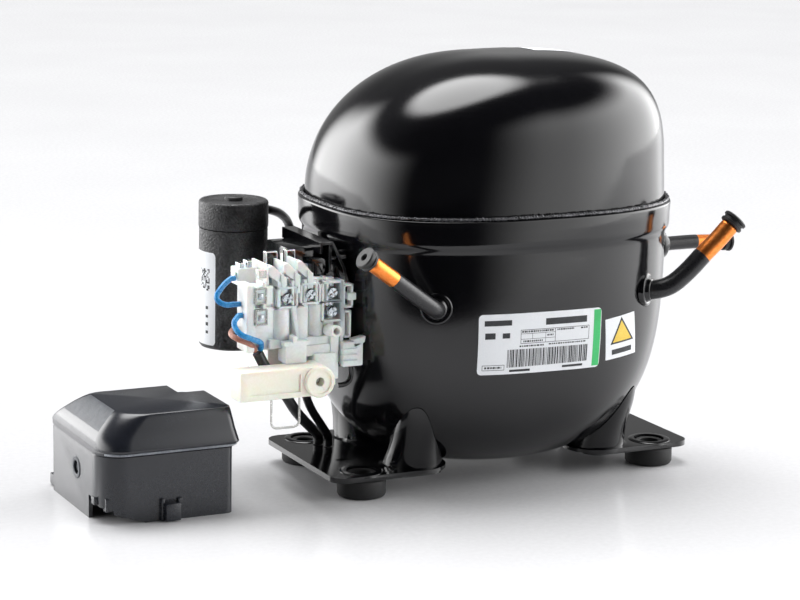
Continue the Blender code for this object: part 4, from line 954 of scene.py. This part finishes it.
left = -149.3
leads = {
    "capacitorLead": (((-107.5, 41, 135.5), (-104.8, 41.2, 135.5), (-94, 50, 131), (-86, 58, 124), (-82, 60, 112),
                       (-86, 55, 98), (-94, 46, 87), (-100, 34, 80.5), (-106.5, 25, 79.5), (-111, 18, 79.5),
                       (-111, 14.3, 79.5)), 2.3, blackSheath, "capacitor_lead", "lead_sheath"),
    "blueLeadUpper": (((left, -21.5, 114), (left - 2.5, -21.5, 113.6), (left - 8, -23.5, 110),
                       (left - 11.5, -26, 105.5),
                       (left - 8.5, -27.8, 102.6), (left - 2.5, -28, 102.2), (left, -28, 102.2)), 1.4, blueInsulation,
                      "blue_lead_upper", "blue_lead"),
    "blueLeadLower": (((left, -31, 97), (left - 2, -31, 97), (left - 5.5, -34, 93.5), (left - 4, -38, 89.5),
                       (left + 1.5, -39.5, 86.8), (left + 6.5, -38, 84.5), (left + 8.8, -34.5, 81.8),
                       (left + 8.9, -33, 79.6)), 1.4, blueInsulation, "blue_lead_lower", "blue_lead"),
    "brownLead": (((left, -25, 89), (left - 2, -25, 89), (left - 5, -29, 87.5), (left - 3.5, -34, 86),
                   (left + 2, -35.5, 83.5), (left + 5, -34, 81), (left + 5.8, -33, 79.2)), 1.4, brownInsulation,
                  "brown_lead", "brown_lead"),
    "supplyCable": (((-141.8, -33, 78), (-138, -33, 71), (-132.5, -32.9, 64), (-127, -32.5, 56),
                     (-119.5, -27, 46.5), (-109, -14, 37), (-97, 2, 27.5), (-87.5, 16, 20.5), (-84.3, 20.6, 17.5),
                     (-84, 21, 12.9)), 2.7,
                    blackSheath, "supply_cable", "lead_sheath"),
    "earthLead": (((-112, -24, 57.7), (-112, -24, 55), (-109, -20, 48.5), (-100, -7.5, 38), (-89, 4, 26),
                   (-83, 12, 20), (-81.2, 14.7, 17.5), (-81, 15, 12.9)), 2.2, blackSheath, "earth_lead", "lead_sheath")}
for label, (points, radius, material, node, slot) in leads.items():
    makeLead(label, points, radius, material, node)
print("leads")

# terminal board
board = {"left": -149.0, "deep": -127.0, "right": -102.0, "front": -36.0, "back": 14.0, "low": 58.0, "roof": 113.0,
         "screws": ((-127.2, 105.0), (-114.8, 106.2), (-103.0, 106.2), (-103.0, 96.4)),
         "lugs": ((-142.1, 107.0), (-141.7, 96.3))}


def addPrism(bm, outline, y, material=0, bevel=0.3):
    # outline: x and z of the corners, seen from the front
    front = [bm.verts.new((px, y[0], pz)) for px, pz in outline]
    rear = [bm.verts.new((px, y[1], pz)) for px, pz in outline]
    made = [bm.faces.new(front), bm.faces.new(rear[::-1])]
    for i in range(len(outline)):
        j = (i + 1) % len(outline)
        made.append(bm.faces.new((front[i], rear[i], rear[j], front[j])))
    for f in made:
        f.material_index = material
    if bevel:
        edges = list({e for f in made for e in f.edges})
        bmesh.ops.bevel(bm, geom=edges, offset=bevel, segments=2, affect="EDGES", profile=0.6)


def addFrame(bm, x, z, y, wall, material=0):
    # four walls round an open window
    addBlock(bm, x, y, (z[0], z[0] + wall), 0.2, material)
    addBlock(bm, x, y, (z[1] - wall, z[1]), 0.2, material)
    addBlock(bm, (x[0], x[0] + wall), y, z, 0.2, material)
    addBlock(bm, (x[1] - wall, x[1]), y, z, 0.2, material)


def makeBoard(s):
    f = s["front"]
    bm = bmesh.new()
    deep = s["deep"]
    addBlock(bm, (s["left"], deep + 1), (f + 3.2, -23), (79, 110.5), 0.9)                 # shallow left end
    addBlock(bm, (s["left"], -144.6), (f, -23), (79, 112.8), 0.9)                         # its outer wall
    addBlock(bm, (-146, -134.5), (f + 1.4, -24), (88.5, 101), 0.6)
    addBlock(bm, (-146, -134.5), (f + 1.4, -24), (102.4, 111.5), 0.6)
    addBlock(bm, (deep, s["right"] + 2), (-31.5, s["back"]), (s["low"], s["roof"]), 0.8)   # body behind the screws
    addBlock(bm, (s["left"] + 1, -104), (-22, -12.2), (110, 118.5), 0.7)                  # raised back row
    addBlock(bm, (-126, -104), (-22, s["back"]), (112, 113), 0.2)
    addBlock(bm, (-134.5, -100), (-28.4, -10), (s["low"], 80), 1.2)
    # upright ribs
    for x, width in ((-139.5, 1.6), (-131.5, 1.5), (-124.2, 1.5), (-117.5, 1.6), (-111.4, 1.5), (-105.6, 1.4)):
        addBlock(bm, (x - width / 2, x + width / 2), (f + 0.4, -26), (99.5, 113.5), 0.35)
    for x, z in s["screws"]:                                                              # wells round the screws
        addFrame(bm, (x - 5.6, x + 5.6), (z - 5.2, z + 5.6), (f, -30), 1.1)
    # three sloping fingers over the wells, hollow towards the left
    for x0, z0, x1, z1 in ((-135.6, 121.5, -127.6, 115.2), (-127.3, 122.3, -120.3, 115.9),
                           (-120.1, 123.0, -113.4, 116.4)):
        addPrism(bm, [(x0 - 1.6, z0 - 4.6), (x0 + 0.4, z0 - 5.6), (x1 - 0.4, z1 - 5.0), (x1, z1), (x0 + 0.8, z0),
                      (x0 - 1.6, z0 - 0.6)],
                 (f + 1.2, -29.5))
        addPrism(bm, [(x1 - 3.0, z1 - 9), (x1, z1 - 9), (x1, z1 + 0.2), (x1 - 3.0, z1 + 1.8)], (f + 0.2, -27))
        addBlock(bm, (x0 - 1.8, x0 - 0.5), (-33, -14), (z0 - 13, z0 + 0.4), 0.3)
    # half-round columns and the tapered rib of the lower front
    for x, r, low, high in ((-129.0, 4.6, 80, 99.6), (-119.4, 4.9, 83, 100.4), (-110.4, 4.0, 84, 100.8)):
        addTurned(bm, [(0, low), (r - 0.7, low), (r, low + 0.7), (r, high - 0.7), (r - 0.7, high), (0, high)],
                  (x, -31.2, 0), steps=40)
    addPrism(bm, [(-122.4, 84), (-121.0, 84), (-123.0, 101), (-125.2, 101)], (f - 0.4, -31))
    addBlock(bm, (-136.5, -100.5), (f + 0.6, -28), (79.6, 84.5), 0.9)
    # ledge box above the clamp, with its lid and posts
    addBlock(bm, (-129.7, -118.4), (-40, -30), (72.5, 82.6), 0.7)
    addBlock(bm, (-131.0, -117.2), (-41, -29), (81.6, 83.8), 0.5)
    addBlock(bm, (-126.6, -124.2), (-41.5, -36), (83, 86.6), 0.5)
    addBlock(bm, (-117.4, -103.4), (-36.4, -29), (74.6, 80.4), 0.8)
    addBlock(bm, (-113.5, -101.5), (-38.2, -29), (59, 76), 1.0)
    addBlock(bm, (-104.2, -99.6), (-37.0, -28), (62, 84), 0.7)
    # wing with two catches
    addBlock(bm, (-98.4, -96.6), (f, -28), (78, 112), 0.4)
    addFrame(bm, (-97.2, -91.6), (97.6, 109.8), (f, -30.6), 1.2)
    addFrame(bm, (-97.2, -92.6), (82.4, 96.4), (f, -30.6), 1.1)
    addBlock(bm, (-94.6, -90.2), (f - 0.6, -32), (101.6, 105.2), 0.4)
    # round boss with a bore, pointing forward
    addTurned(bm, [(3.0, 0), (3.0, 9.6), (2.7, 10), (1.9, 10), (1.6, 9.7), (1.6, 1.0), (1.6, 0)], (-104.4, -34.6, 87.0),
              (0, -1, 0.12), closed=True)
    # ribbed clip low on the right
    addBlock(bm, (-98.6, -87.4), (-40, -33), (68.4, 81.0), 1.1)
    for z in (70.4, 73.4, 76.4):
        addBlock(bm, (-98.8, -91.0), (-41.2, -36), (z, z + 1.5), 0.4)
    addPrism(bm, [(-92.4, 78.0), (-86.8, 80.4), (-86.2, 83.4), (-93.0, 82.0)], (-40, -34.5))
    # clear locking tab and blades of the push-on terminals behind the row
    addBlock(bm, (-143.4, -138.4), (-36.6, -33), (115.6, 120.4), 0.5, 1)
    addBlock(bm, (-133.0, -126.8), (-22, -18), (117, 126.0), 0.5, 2)
    addBlock(bm, (-122.0, -117.2), (-22, -17), (118, 126.2), 0.5, 2)
    for x, z in ((-147.6, 113.2), (-145.2, 117.4), (-141.0, 118.4)):
        addBlock(bm, (x - 1.3, x + 1.3), (-20.5, -14.5), (z, z + 3.4), 0.3, 3)
    # clamp plates beside the fingers
    for x in (-133.8, -126.0, -118.6):
        addBlock(bm, (x - 2.2, x + 2.2), (-27.5, -24.0), (111, 119.5), 0.3, 3)
    recalc(bm)
    finishPiece("terminalBoard", bm, [ivoryNylon, clearNylon, smokedPlastic, zincPlate], "housing", "terminal_board",
                32)
    for number, (x, z) in enumerate(s["screws"], 1):
        bm = bmesh.new()
        addTurned(bm, [(0, 3.0), (2.3, 3.0), (2.9, 2.4), (3.1, 1.4), (3.1, 0.4), (3.0, 0), (0, 0)], (x, f + 2.2, z),
                  (0, -1, 0),
                  steps=40)
        addTurned(bm, [(0, 0), (4.2, 0), (4.2, -0.7), (0, -0.7)], (x, f + 2.4, z), (0, -1, 0), steps=4)
        blank = recalc(bm)
        turn = 0.35 * number
        crosses = []
        for k in (0, 1):
            cross = bmesh.new()
            addBlock(cross, (-2.4, 2.4), (-1.0, 1.0), (-0.45, 0.45), 0)
            spin = Matrix.Translation((x, f - 1.0, z)) @ Matrix.Rotation(turn + k * math.pi / 2, 4, "Y")
            for v in cross.verts:
                v.co = spin @ v.co
            crosses.append(cross)
        finishPiece("terminalScrew%d" % number, shapeFrom([blank], crosses), zincPlate, "housing",
                    "terminal_screw_%d" % number, 30)
    for number, (x, z) in enumerate(s["lugs"], 1):
        bm = bmesh.new()
        addFrame(bm, (x - 3.0, x + 3.4), (z - 3.8, z + 4.2), (f - 1.2, f + 1.2), 0.8)
        addBlock(bm, (x - 2.6, x + 3.0), (f - 0.4, f + 0.8), (z - 3.4, z + 3.8), 0.5, 1)
        addBlock(bm, (x - 1.2, x + 1.6), (f - 1.0, f + 0.4), (z - 1.6, z + 1.6), 0.3, 2)
        recalc(bm)
        finishPiece("terminalLug%d" % number, bm, [clearNylon, ivoryNylon, zincPlate], "housing",
                    "terminal_lug_%d" % number, 35)


def makeBoardFittings():
    bm = bmesh.new()                                       # smoked starter in front of the frame
    addBlock(bm, (-120, -103), (-20, 9), (113.3, 126.5), 1.4)
    addPrism(bm, [(-110.3, 108), (-96.4, 107.2), (-95.4, 112.0), (-97.0, 118.4), (-104.5, 121.9), (-110.3, 121.9)],
             (-26, -14), 0, 0.8)
    addBlock(bm, (-108.6, -104.6), (-27.5, -25), (110.2, 119.4), 0.4)
    addTurned(bm, [(0, 0), (2.2, 0), (2.2, 1.8), (1.8, 2.2), (0, 2.2)], (-100.6, -26, 113.4), (0, -1, 0), 32)
    recalc(bm)
    finishPiece("startRelay", bm, smokedPlastic, "housing", "start_relay", 35)
    # clamp bar, its round boss and screw
    bar = bmesh.new()
    addBlock(bar, (-158, -116), (-50, -36.5), (57.6, 72.6), 1.3)
    boss = solidTurned([(0, 0), (7.2, 0), (8.0, 0.8), (8.0, 14.6), (7.2, 15.4), (0, 15.4)], (-116, -36.5, 65),
                       (0, -1, 0), 64)
    head = [solidTurned([(0, 0), (6.0, 0), (6.0, 3.0), (0, 3.0)], (-116, -51.2, 65), (0, -1, 0), 48),
            solidTurned([(0, 0), (2.3, 0), (2.3, 14.0), (0, 14.0)], (-116, -40, 65), (0, -1, 0), 48)]
    pocket = solidBlock((-153, -126), (-51, -49.2), (60.6, 69.6), 0.0)
    finishPiece("cordClamp", shapeFrom([bar, boss], head + [pocket]), clampNylon, "housing", "cord_clamp",
                32,
                bevel=0.5)
    bm = bmesh.new()
    addTurned(bm, [(0, 0), (2.1, 0), (2.1, 2.4), (1.7, 2.8), (0, 2.8)], (-116, -44.0, 65), (0, -1, 0), 40)
    recalc(bm)
    finishPiece("clampScrew", bm, zincPlate, "housing", "clamp_screw", 35)
    # sheet frame behind the board: the upright sheet, its long lip and the hook low on the right
    sheet = solidBlock((-101.6, -100.1), (-28, 18.1), (62, 130.5))
    window = solidBlock((-104, -98), (-23, 7), (77, 107))
    lip = solidBlock((-107.2, -100.1), (-30, 18.1), (129.0, 130.5))
    flange = solidBlock((-107.2, -105.9), (-30, 18.1), (124.8, 130.5))
    strap = bmesh.new()
    addPrism(strap, [(-101.6, 130.5), (-100.1, 130.5), (-93.6, 117.5), (-90.8, 107.5), (-92.2, 107.2), (-95.2, 117.0)],
             (-30.4, -24.0), 0, 0)
    studs = [solidTurned([(0, 0), (3, 0), (3, 9.0), (0, 9.0)], (-100.3, y, z), (1, 0, 0), 24) for y in (-24, 12)
             for z in (70, 122)]
    finishPiece("terminalFrame", shapeFrom([sheet, lip, flange, strap] + studs, [window]), glossBlackEnamel, "housing",
                "terminal_fence", 32, bevel=0.35)
    hook = [(-99.8, -34, 68.8), (-94.0, -36, 69.2), (-92.4, -36, 66.0), (-92.8, -36, 61.0), (-95.6, -36, 58.8),
            (-99.6, -36, 58.4)]
    bm = bmesh.new()
    addTube(bm, followPath(hook, 6), 1.3, 16)
    recalc(bm)
    finishPiece("frameHook", bm, glossBlackEnamel, "housing", sharpAngle=60)


makeBoard(board)
makeBoardFittings()
print("terminal board")


# loose terminal cover
cover = {"x": (-226.0, -157.0), "y": (-40.5, 35.0), "frontCorner": 14.0, "corner": 4.0, "wall": 2.0,
         "shoulder": 44.5, "top": 53.8}


def coverRing(x, y, z, radii):
    return [Vector((px, py, z)) for px, py in roundedRect(x, y, radii, 10)]


def makeCover(s):
    x, y = s["x"], s["y"]
    r = (s["corner"], s["corner"], s["frontCorner"], s["corner"])

    def shell(inset):
        low, high = -3 if inset else 0, s["top"] - inset
        a, b = (x[0] + inset, x[1] - inset), (y[0] + inset, y[1] - inset)
        radii = [max(1.0, v - inset) for v in r]
        rings = [coverRing(a, b, low, radii), coverRing(a, b, 33.4, radii)]
        if not inset:   # groove, the bead with its painted highlight, and lip
            rings += [coverRing((a[0] + 0.1, a[1] - 0.5), (b[0] + 0.5, b[1] - 0.5), 33.7, radii),
                      coverRing((a[0] + 0.1, a[1] - 0.5), (b[0] + 0.5, b[1] - 0.5), 34.4, radii),
                      coverRing((a[0] + 0.1, a[1] + 1.0), (b[0] - 2.4, b[1] + 0.8), 34.7, radii),
                      coverRing((a[0] + 0.1, a[1] + 1.4), (b[0] - 3.0, b[1] + 1.0), 35.3, radii),
                      coverRing((a[0] + 0.1, a[1] + 1.3), (b[0] - 2.8, b[1] + 0.9), 35.9, radii),
                      coverRing((a[0] + 0.1, a[1] + 1.1), (b[0] - 2.6, b[1] + 0.8), 36.1, radii),
                      coverRing((a[0] + 0.1, a[1] + 1.6), (b[0] - 4.2, b[1] + 1.2), 36.5, radii),
                      coverRing((a[0] + 0.1, a[1] + 1.9), (b[0] - 4.6, b[1] + 1.4), 37.2, radii)]
        # the sides rise, lean in and fold over at the shoulders
        for t in (0.0, 0.25, 0.5, 0.75, 1.0):
            fold = t * t
            rings.append(coverRing((a[0] + 0.2 + 2.8 * fold, a[1] + 1.8 - 1.2 * t),
                                   (b[0] - 4.6 + 3.0 * t, b[1] + 1.2 - 9.0 * t),
                                   37.8 + (s["shoulder"] - 37.8) * t, radii))
        for t in (0.15, 0.4, 0.7, 0.9, 1.0):
            lift = 1 - (1 - t) ** 1.25
            rings.append(coverRing((a[0] + 3.0 + 9.6 * t, a[1] + 0.6 - 1.4 * t),
                                   (b[0] - 1.6 + 3.4 * t, b[1] - 7.8 - 13.2 * t),
                                   s["shoulder"] + (high - 0.4 - s["shoulder"]) * lift, radii))
        rings.append(coverRing((a[0] + 13.4, a[1] - 1.6), (b[0] + 2.8, b[1] - 22.0), high, radii))
        return solidLoft(rings)

    # lower back right of the plateau
    step = solidBlock((-172, -150), (-3.5, 40), (46.8, 60))
    notch = bmesh.new()
    addPrism(notch, [(-240, -5), (-203.5, -5), (-203.5, 0.2), (-218.5, 5), (-219.2, 7.4), (-224.2, 8.0),
                     (-224.8, 11.8), (-240, 12.2)],
             (-60, -22), 0, 0)
    hole = solidTurned([(0, -9), (3.4, -9), (3.4, 9), (0, 9)], (x[0], -4, 21), (1, 0, 0), 40)
    opening = solidBlock((-212, -206), (-60, -30), (-3, 1.2))
    body = shapeFrom([shell(0)], [shell(s["wall"]), step, notch, hole, opening])
    addBlock(body, (-171.5, -158.6), (-3.4, 24), (44.8, 46.8), 0.3)                       # closes the lowered part
    addBlock(body, (-226.4, -217.6), (-31.0, -26.5), (8.6, 12.6), 0.4)                     # ragged latch at the notch
    addBlock(body, (-222.6, -212.8), (-37.4, -33.0), (6.2, 12.9), 0.4)
    addBlock(body, (-194.4, -186.6), (-45.2, -39.5), (0.6, 9.4), 0.7)
    addBlock(body, (-195.8, -194.0), (-42.4, -39.8), (0.2, 11.4), 0.3)
    addBlock(body, (-187.0, -184.6), (-42.0, -39.8), (8.0, 11.0), 0.3)
    addBlock(body, (-224.4, -218.0), (34.0, 42.5), (0.4, 6.4), 0.9)
    recalc(body)
    for f in body.faces:                                                                   # etched left chamfer
        c = f.calc_center_median()
        if f.normal.x < -0.45 and f.normal.z > 0.35 and c.z > 45 and -24 < c.y < 6:
            f.material_index = 1
        elif 34.4 < c.z < 35.6 and c.x > s["x"][0] + 3:                                    # painted highlight along the bead under the lip
            f.material_index = 2
    finishPiece("terminalCover", body, [slateAbs, etchedAbs, paintedHighlightAbs], "terminal_cover", "terminal_cover",
                34)
    bm = bmesh.new()
    addTurned(bm, [(0, 2.6), (2.0, 2.6), (2.8, 2.0), (3.0, 1.0), (3.0, 0), (0, 0)], (x[0] + 3.4, -4, 21), (-1, 0, 0),
              32)
    addTurned(bm, [(3.5, -0.4), (5.4, -0.4), (5.6, 0.1), (5.3, 0.4), (3.8, 0.4), (3.4, 0.1)], (x[0], -4, 21),
              (-1, 0, 0), 48,
              closed=True)
    recalc(bm)
    finishPiece("coverScrew", bm, etchedAbs, "terminal_cover", sharpAngle=35)


makeCover(cover)
print("cover")

for node, material in (("overload_protector", grainedPlastic), ("terminal_header", groundSteel),
                       ("wire_bail", clearNylon), ("stator_core", sandCast), ("upper_winding", drawnCopper),
                       ("lower_winding", drawnCopper),
                       ("cylinder_block", sandCast), ("cylinder_head", sandCast), ("valve_plate", groundSteel),
                       ("suction_muffler", ivoryNylon), ("suction_reed", groundSteel), ("discharge_reed", groundSteel),
                       ("discharge_loop", drawnCopper), ("crankshaft", groundSteel), ("gallery_plug", groundSteel),
                       ("rotor", sandCast), ("oil_pickup", groundSteel), ("sliding_block", groundSteel),
                       ("piston_yoke", groundSteel), ("suspension_spring_left_front", groundSteel),
                       ("suspension_spring_left_back", groundSteel), ("suspension_spring_right_front", groundSteel),
                       ("suspension_spring_right_back", groundSteel)):
    nodes[node].data.materials.clear()
    nodes[node].data.materials.append(material)


# floor, backdrop and lights
studio = {"table": "cbcbcd", "air": "f5f5f5", "tableHalf": (9.0, 12.0), "frontEdge": 0.34, "turn": -26.2,
          "backLevel": 0.4, "frontLevel": 0.03,
          # azimuth from the front towards the right and elevation in degrees: start, its softness, end, its softness
          "leftBox": {"azimuth": (-168, 8, -96, 44), "elevation": (-25, 5, 31, 7), "level": 7.0},
          "rightBox": {"azimuth": (40, 40, 122, 12), "elevation": (-25, 5, 42, 10), "level": 7.0},
          "topBox": {"azimuth": 180, "elevation": 72, "reach": (27, 17), "level": 9.0}}


def addWindow(tree, value, limits):
    # 1 between start and end, with soft edges, and 0 outside
    start, startSoft, end, endSoft = [math.radians(v) for v in limits]
    edges = [addNode(tree, "ShaderNodeMapRange", {"Value": value, "From Min": place - soft, "From Max": place + soft,
                                                  "To Min": low, "To Max": 1 - low},
                     interpolation_type="SMOOTHSTEP").outputs[0]
             for place, soft, low in ((start, startSoft, 0.0), (end, endSoft, 1.0))]
    return addNode(tree, "ShaderNodeMath", {0: edges[0], 1: edges[1]}, operation="MULTIPLY").outputs[0]


def makeStudio(s):
    bm = bmesh.new()
    turn = Matrix.Rotation(math.radians(s["turn"]), 3, "Z")
    wide, deep = s["tableHalf"]
    corners = [Vector(c) for c in ((-wide, -s["frontEdge"], 0), (wide, -s["frontEdge"], 0), (wide, deep, 0),
                                   (-wide, deep, 0))]
    bm.faces.new([bm.verts.new(turn @ c) for c in corners])
    mesh = bpy.data.meshes.new("studioTable")
    bm.to_mesh(mesh)
    bm.free()
    mesh.materials.append(surfaceFinish("pale_satin_table", s["table"], "d1d1d3", 0.2, 0.02, grainMm=3, bumpMm=0.003,
                                        patchMm=200, IOR=1.45))
    floor = bpy.data.objects.new("studioTable", mesh)
    bpy.context.scene.collection.objects.link(floor)
    world = bpy.data.worlds.new("studioAir")
    bpy.context.scene.world = world
    world.use_nodes = True
    tree = world.node_tree
    tree.nodes.clear()
    way = addNode(tree, "ShaderNodeTexCoord").outputs["Generated"]
    split = addNode(tree, "ShaderNodeSeparateXYZ", {"Vector": way}).outputs
    towards = addNode(tree, "ShaderNodeMath", {0: split["Y"], 1: -1.0}, operation="MULTIPLY").outputs[0]
    azimuth = addNode(tree, "ShaderNodeMath", {0: split["X"], 1: towards}, operation="ARCTAN2").outputs[0]
    elevation = addNode(tree, "ShaderNodeMath", {0: split["Z"]}, operation="ARCSINE").outputs[0]
    # dim air in front, bright air low behind, and three soft boxes
    total = None
    for value, start, end, low, high in ((split["Y"], -0.1, 0.75, s["frontLevel"], s["backLevel"]),
                                         (elevation, 0.12, 0.5, 1.0, 0.3), (elevation, -0.08, -0.02, 0.05, 1.0)):
        step = addNode(tree, "ShaderNodeMapRange", {"Value": value, "From Min": start, "From Max": end, "To Min": low,
                                                    "To Max": high}, interpolation_type="SMOOTHSTEP").outputs[0]
        total = step if total is None else addNode(tree, "ShaderNodeMath", {0: total, 1: step},
                                                   operation="MULTIPLY").outputs[0]
    lit = []
    for box in (s["leftBox"], s["rightBox"]):
        across = addWindow(tree, azimuth, box["azimuth"])
        upward = addWindow(tree, elevation, box["elevation"])
        window = addNode(tree, "ShaderNodeMath", {0: across, 1: upward}, operation="MULTIPLY").outputs[0]
        lit.append((window, box["level"]))
    top = s["topBox"]
    a, e = math.radians(top["azimuth"]), math.radians(top["elevation"])
    centre = (math.sin(a) * math.cos(e), -math.cos(a) * math.cos(e), math.sin(e))
    near = addNode(tree, "ShaderNodeVectorMath", {0: way, 1: centre}, operation="DOT_PRODUCT").outputs["Value"]
    outer, inner = [math.cos(math.radians(v)) for v in top["reach"]]
    disc = addNode(tree, "ShaderNodeMapRange", {"Value": near, "From Min": outer, "From Max": inner},
                   interpolation_type="SMOOTHSTEP").outputs[0]
    lit.append((disc, top["level"]))
    for mask, level in lit:
        glow = addNode(tree, "ShaderNodeMath", {0: mask, 1: level}, operation="MULTIPLY").outputs[0]
        total = addNode(tree, "ShaderNodeMath", {0: total, 1: glow}, operation="ADD").outputs[0]
    ray = addNode(tree, "ShaderNodeLightPath").outputs["Is Camera Ray"]
    level = addNode(tree, "ShaderNodeMix", {0: ray, 2: total, 3: 1.0}, data_type="FLOAT")
    air = addNode(tree, "ShaderNodeBackground", {"Color": hexColour(s["air"]), "Strength": level.outputs[0]})
    addNode(tree, "ShaderNodeOutputWorld", {"Surface": air.outputs[0]})


makeStudio(studio)
bpy.context.scene.view_settings.view_transform = "Standard"
print("studio")
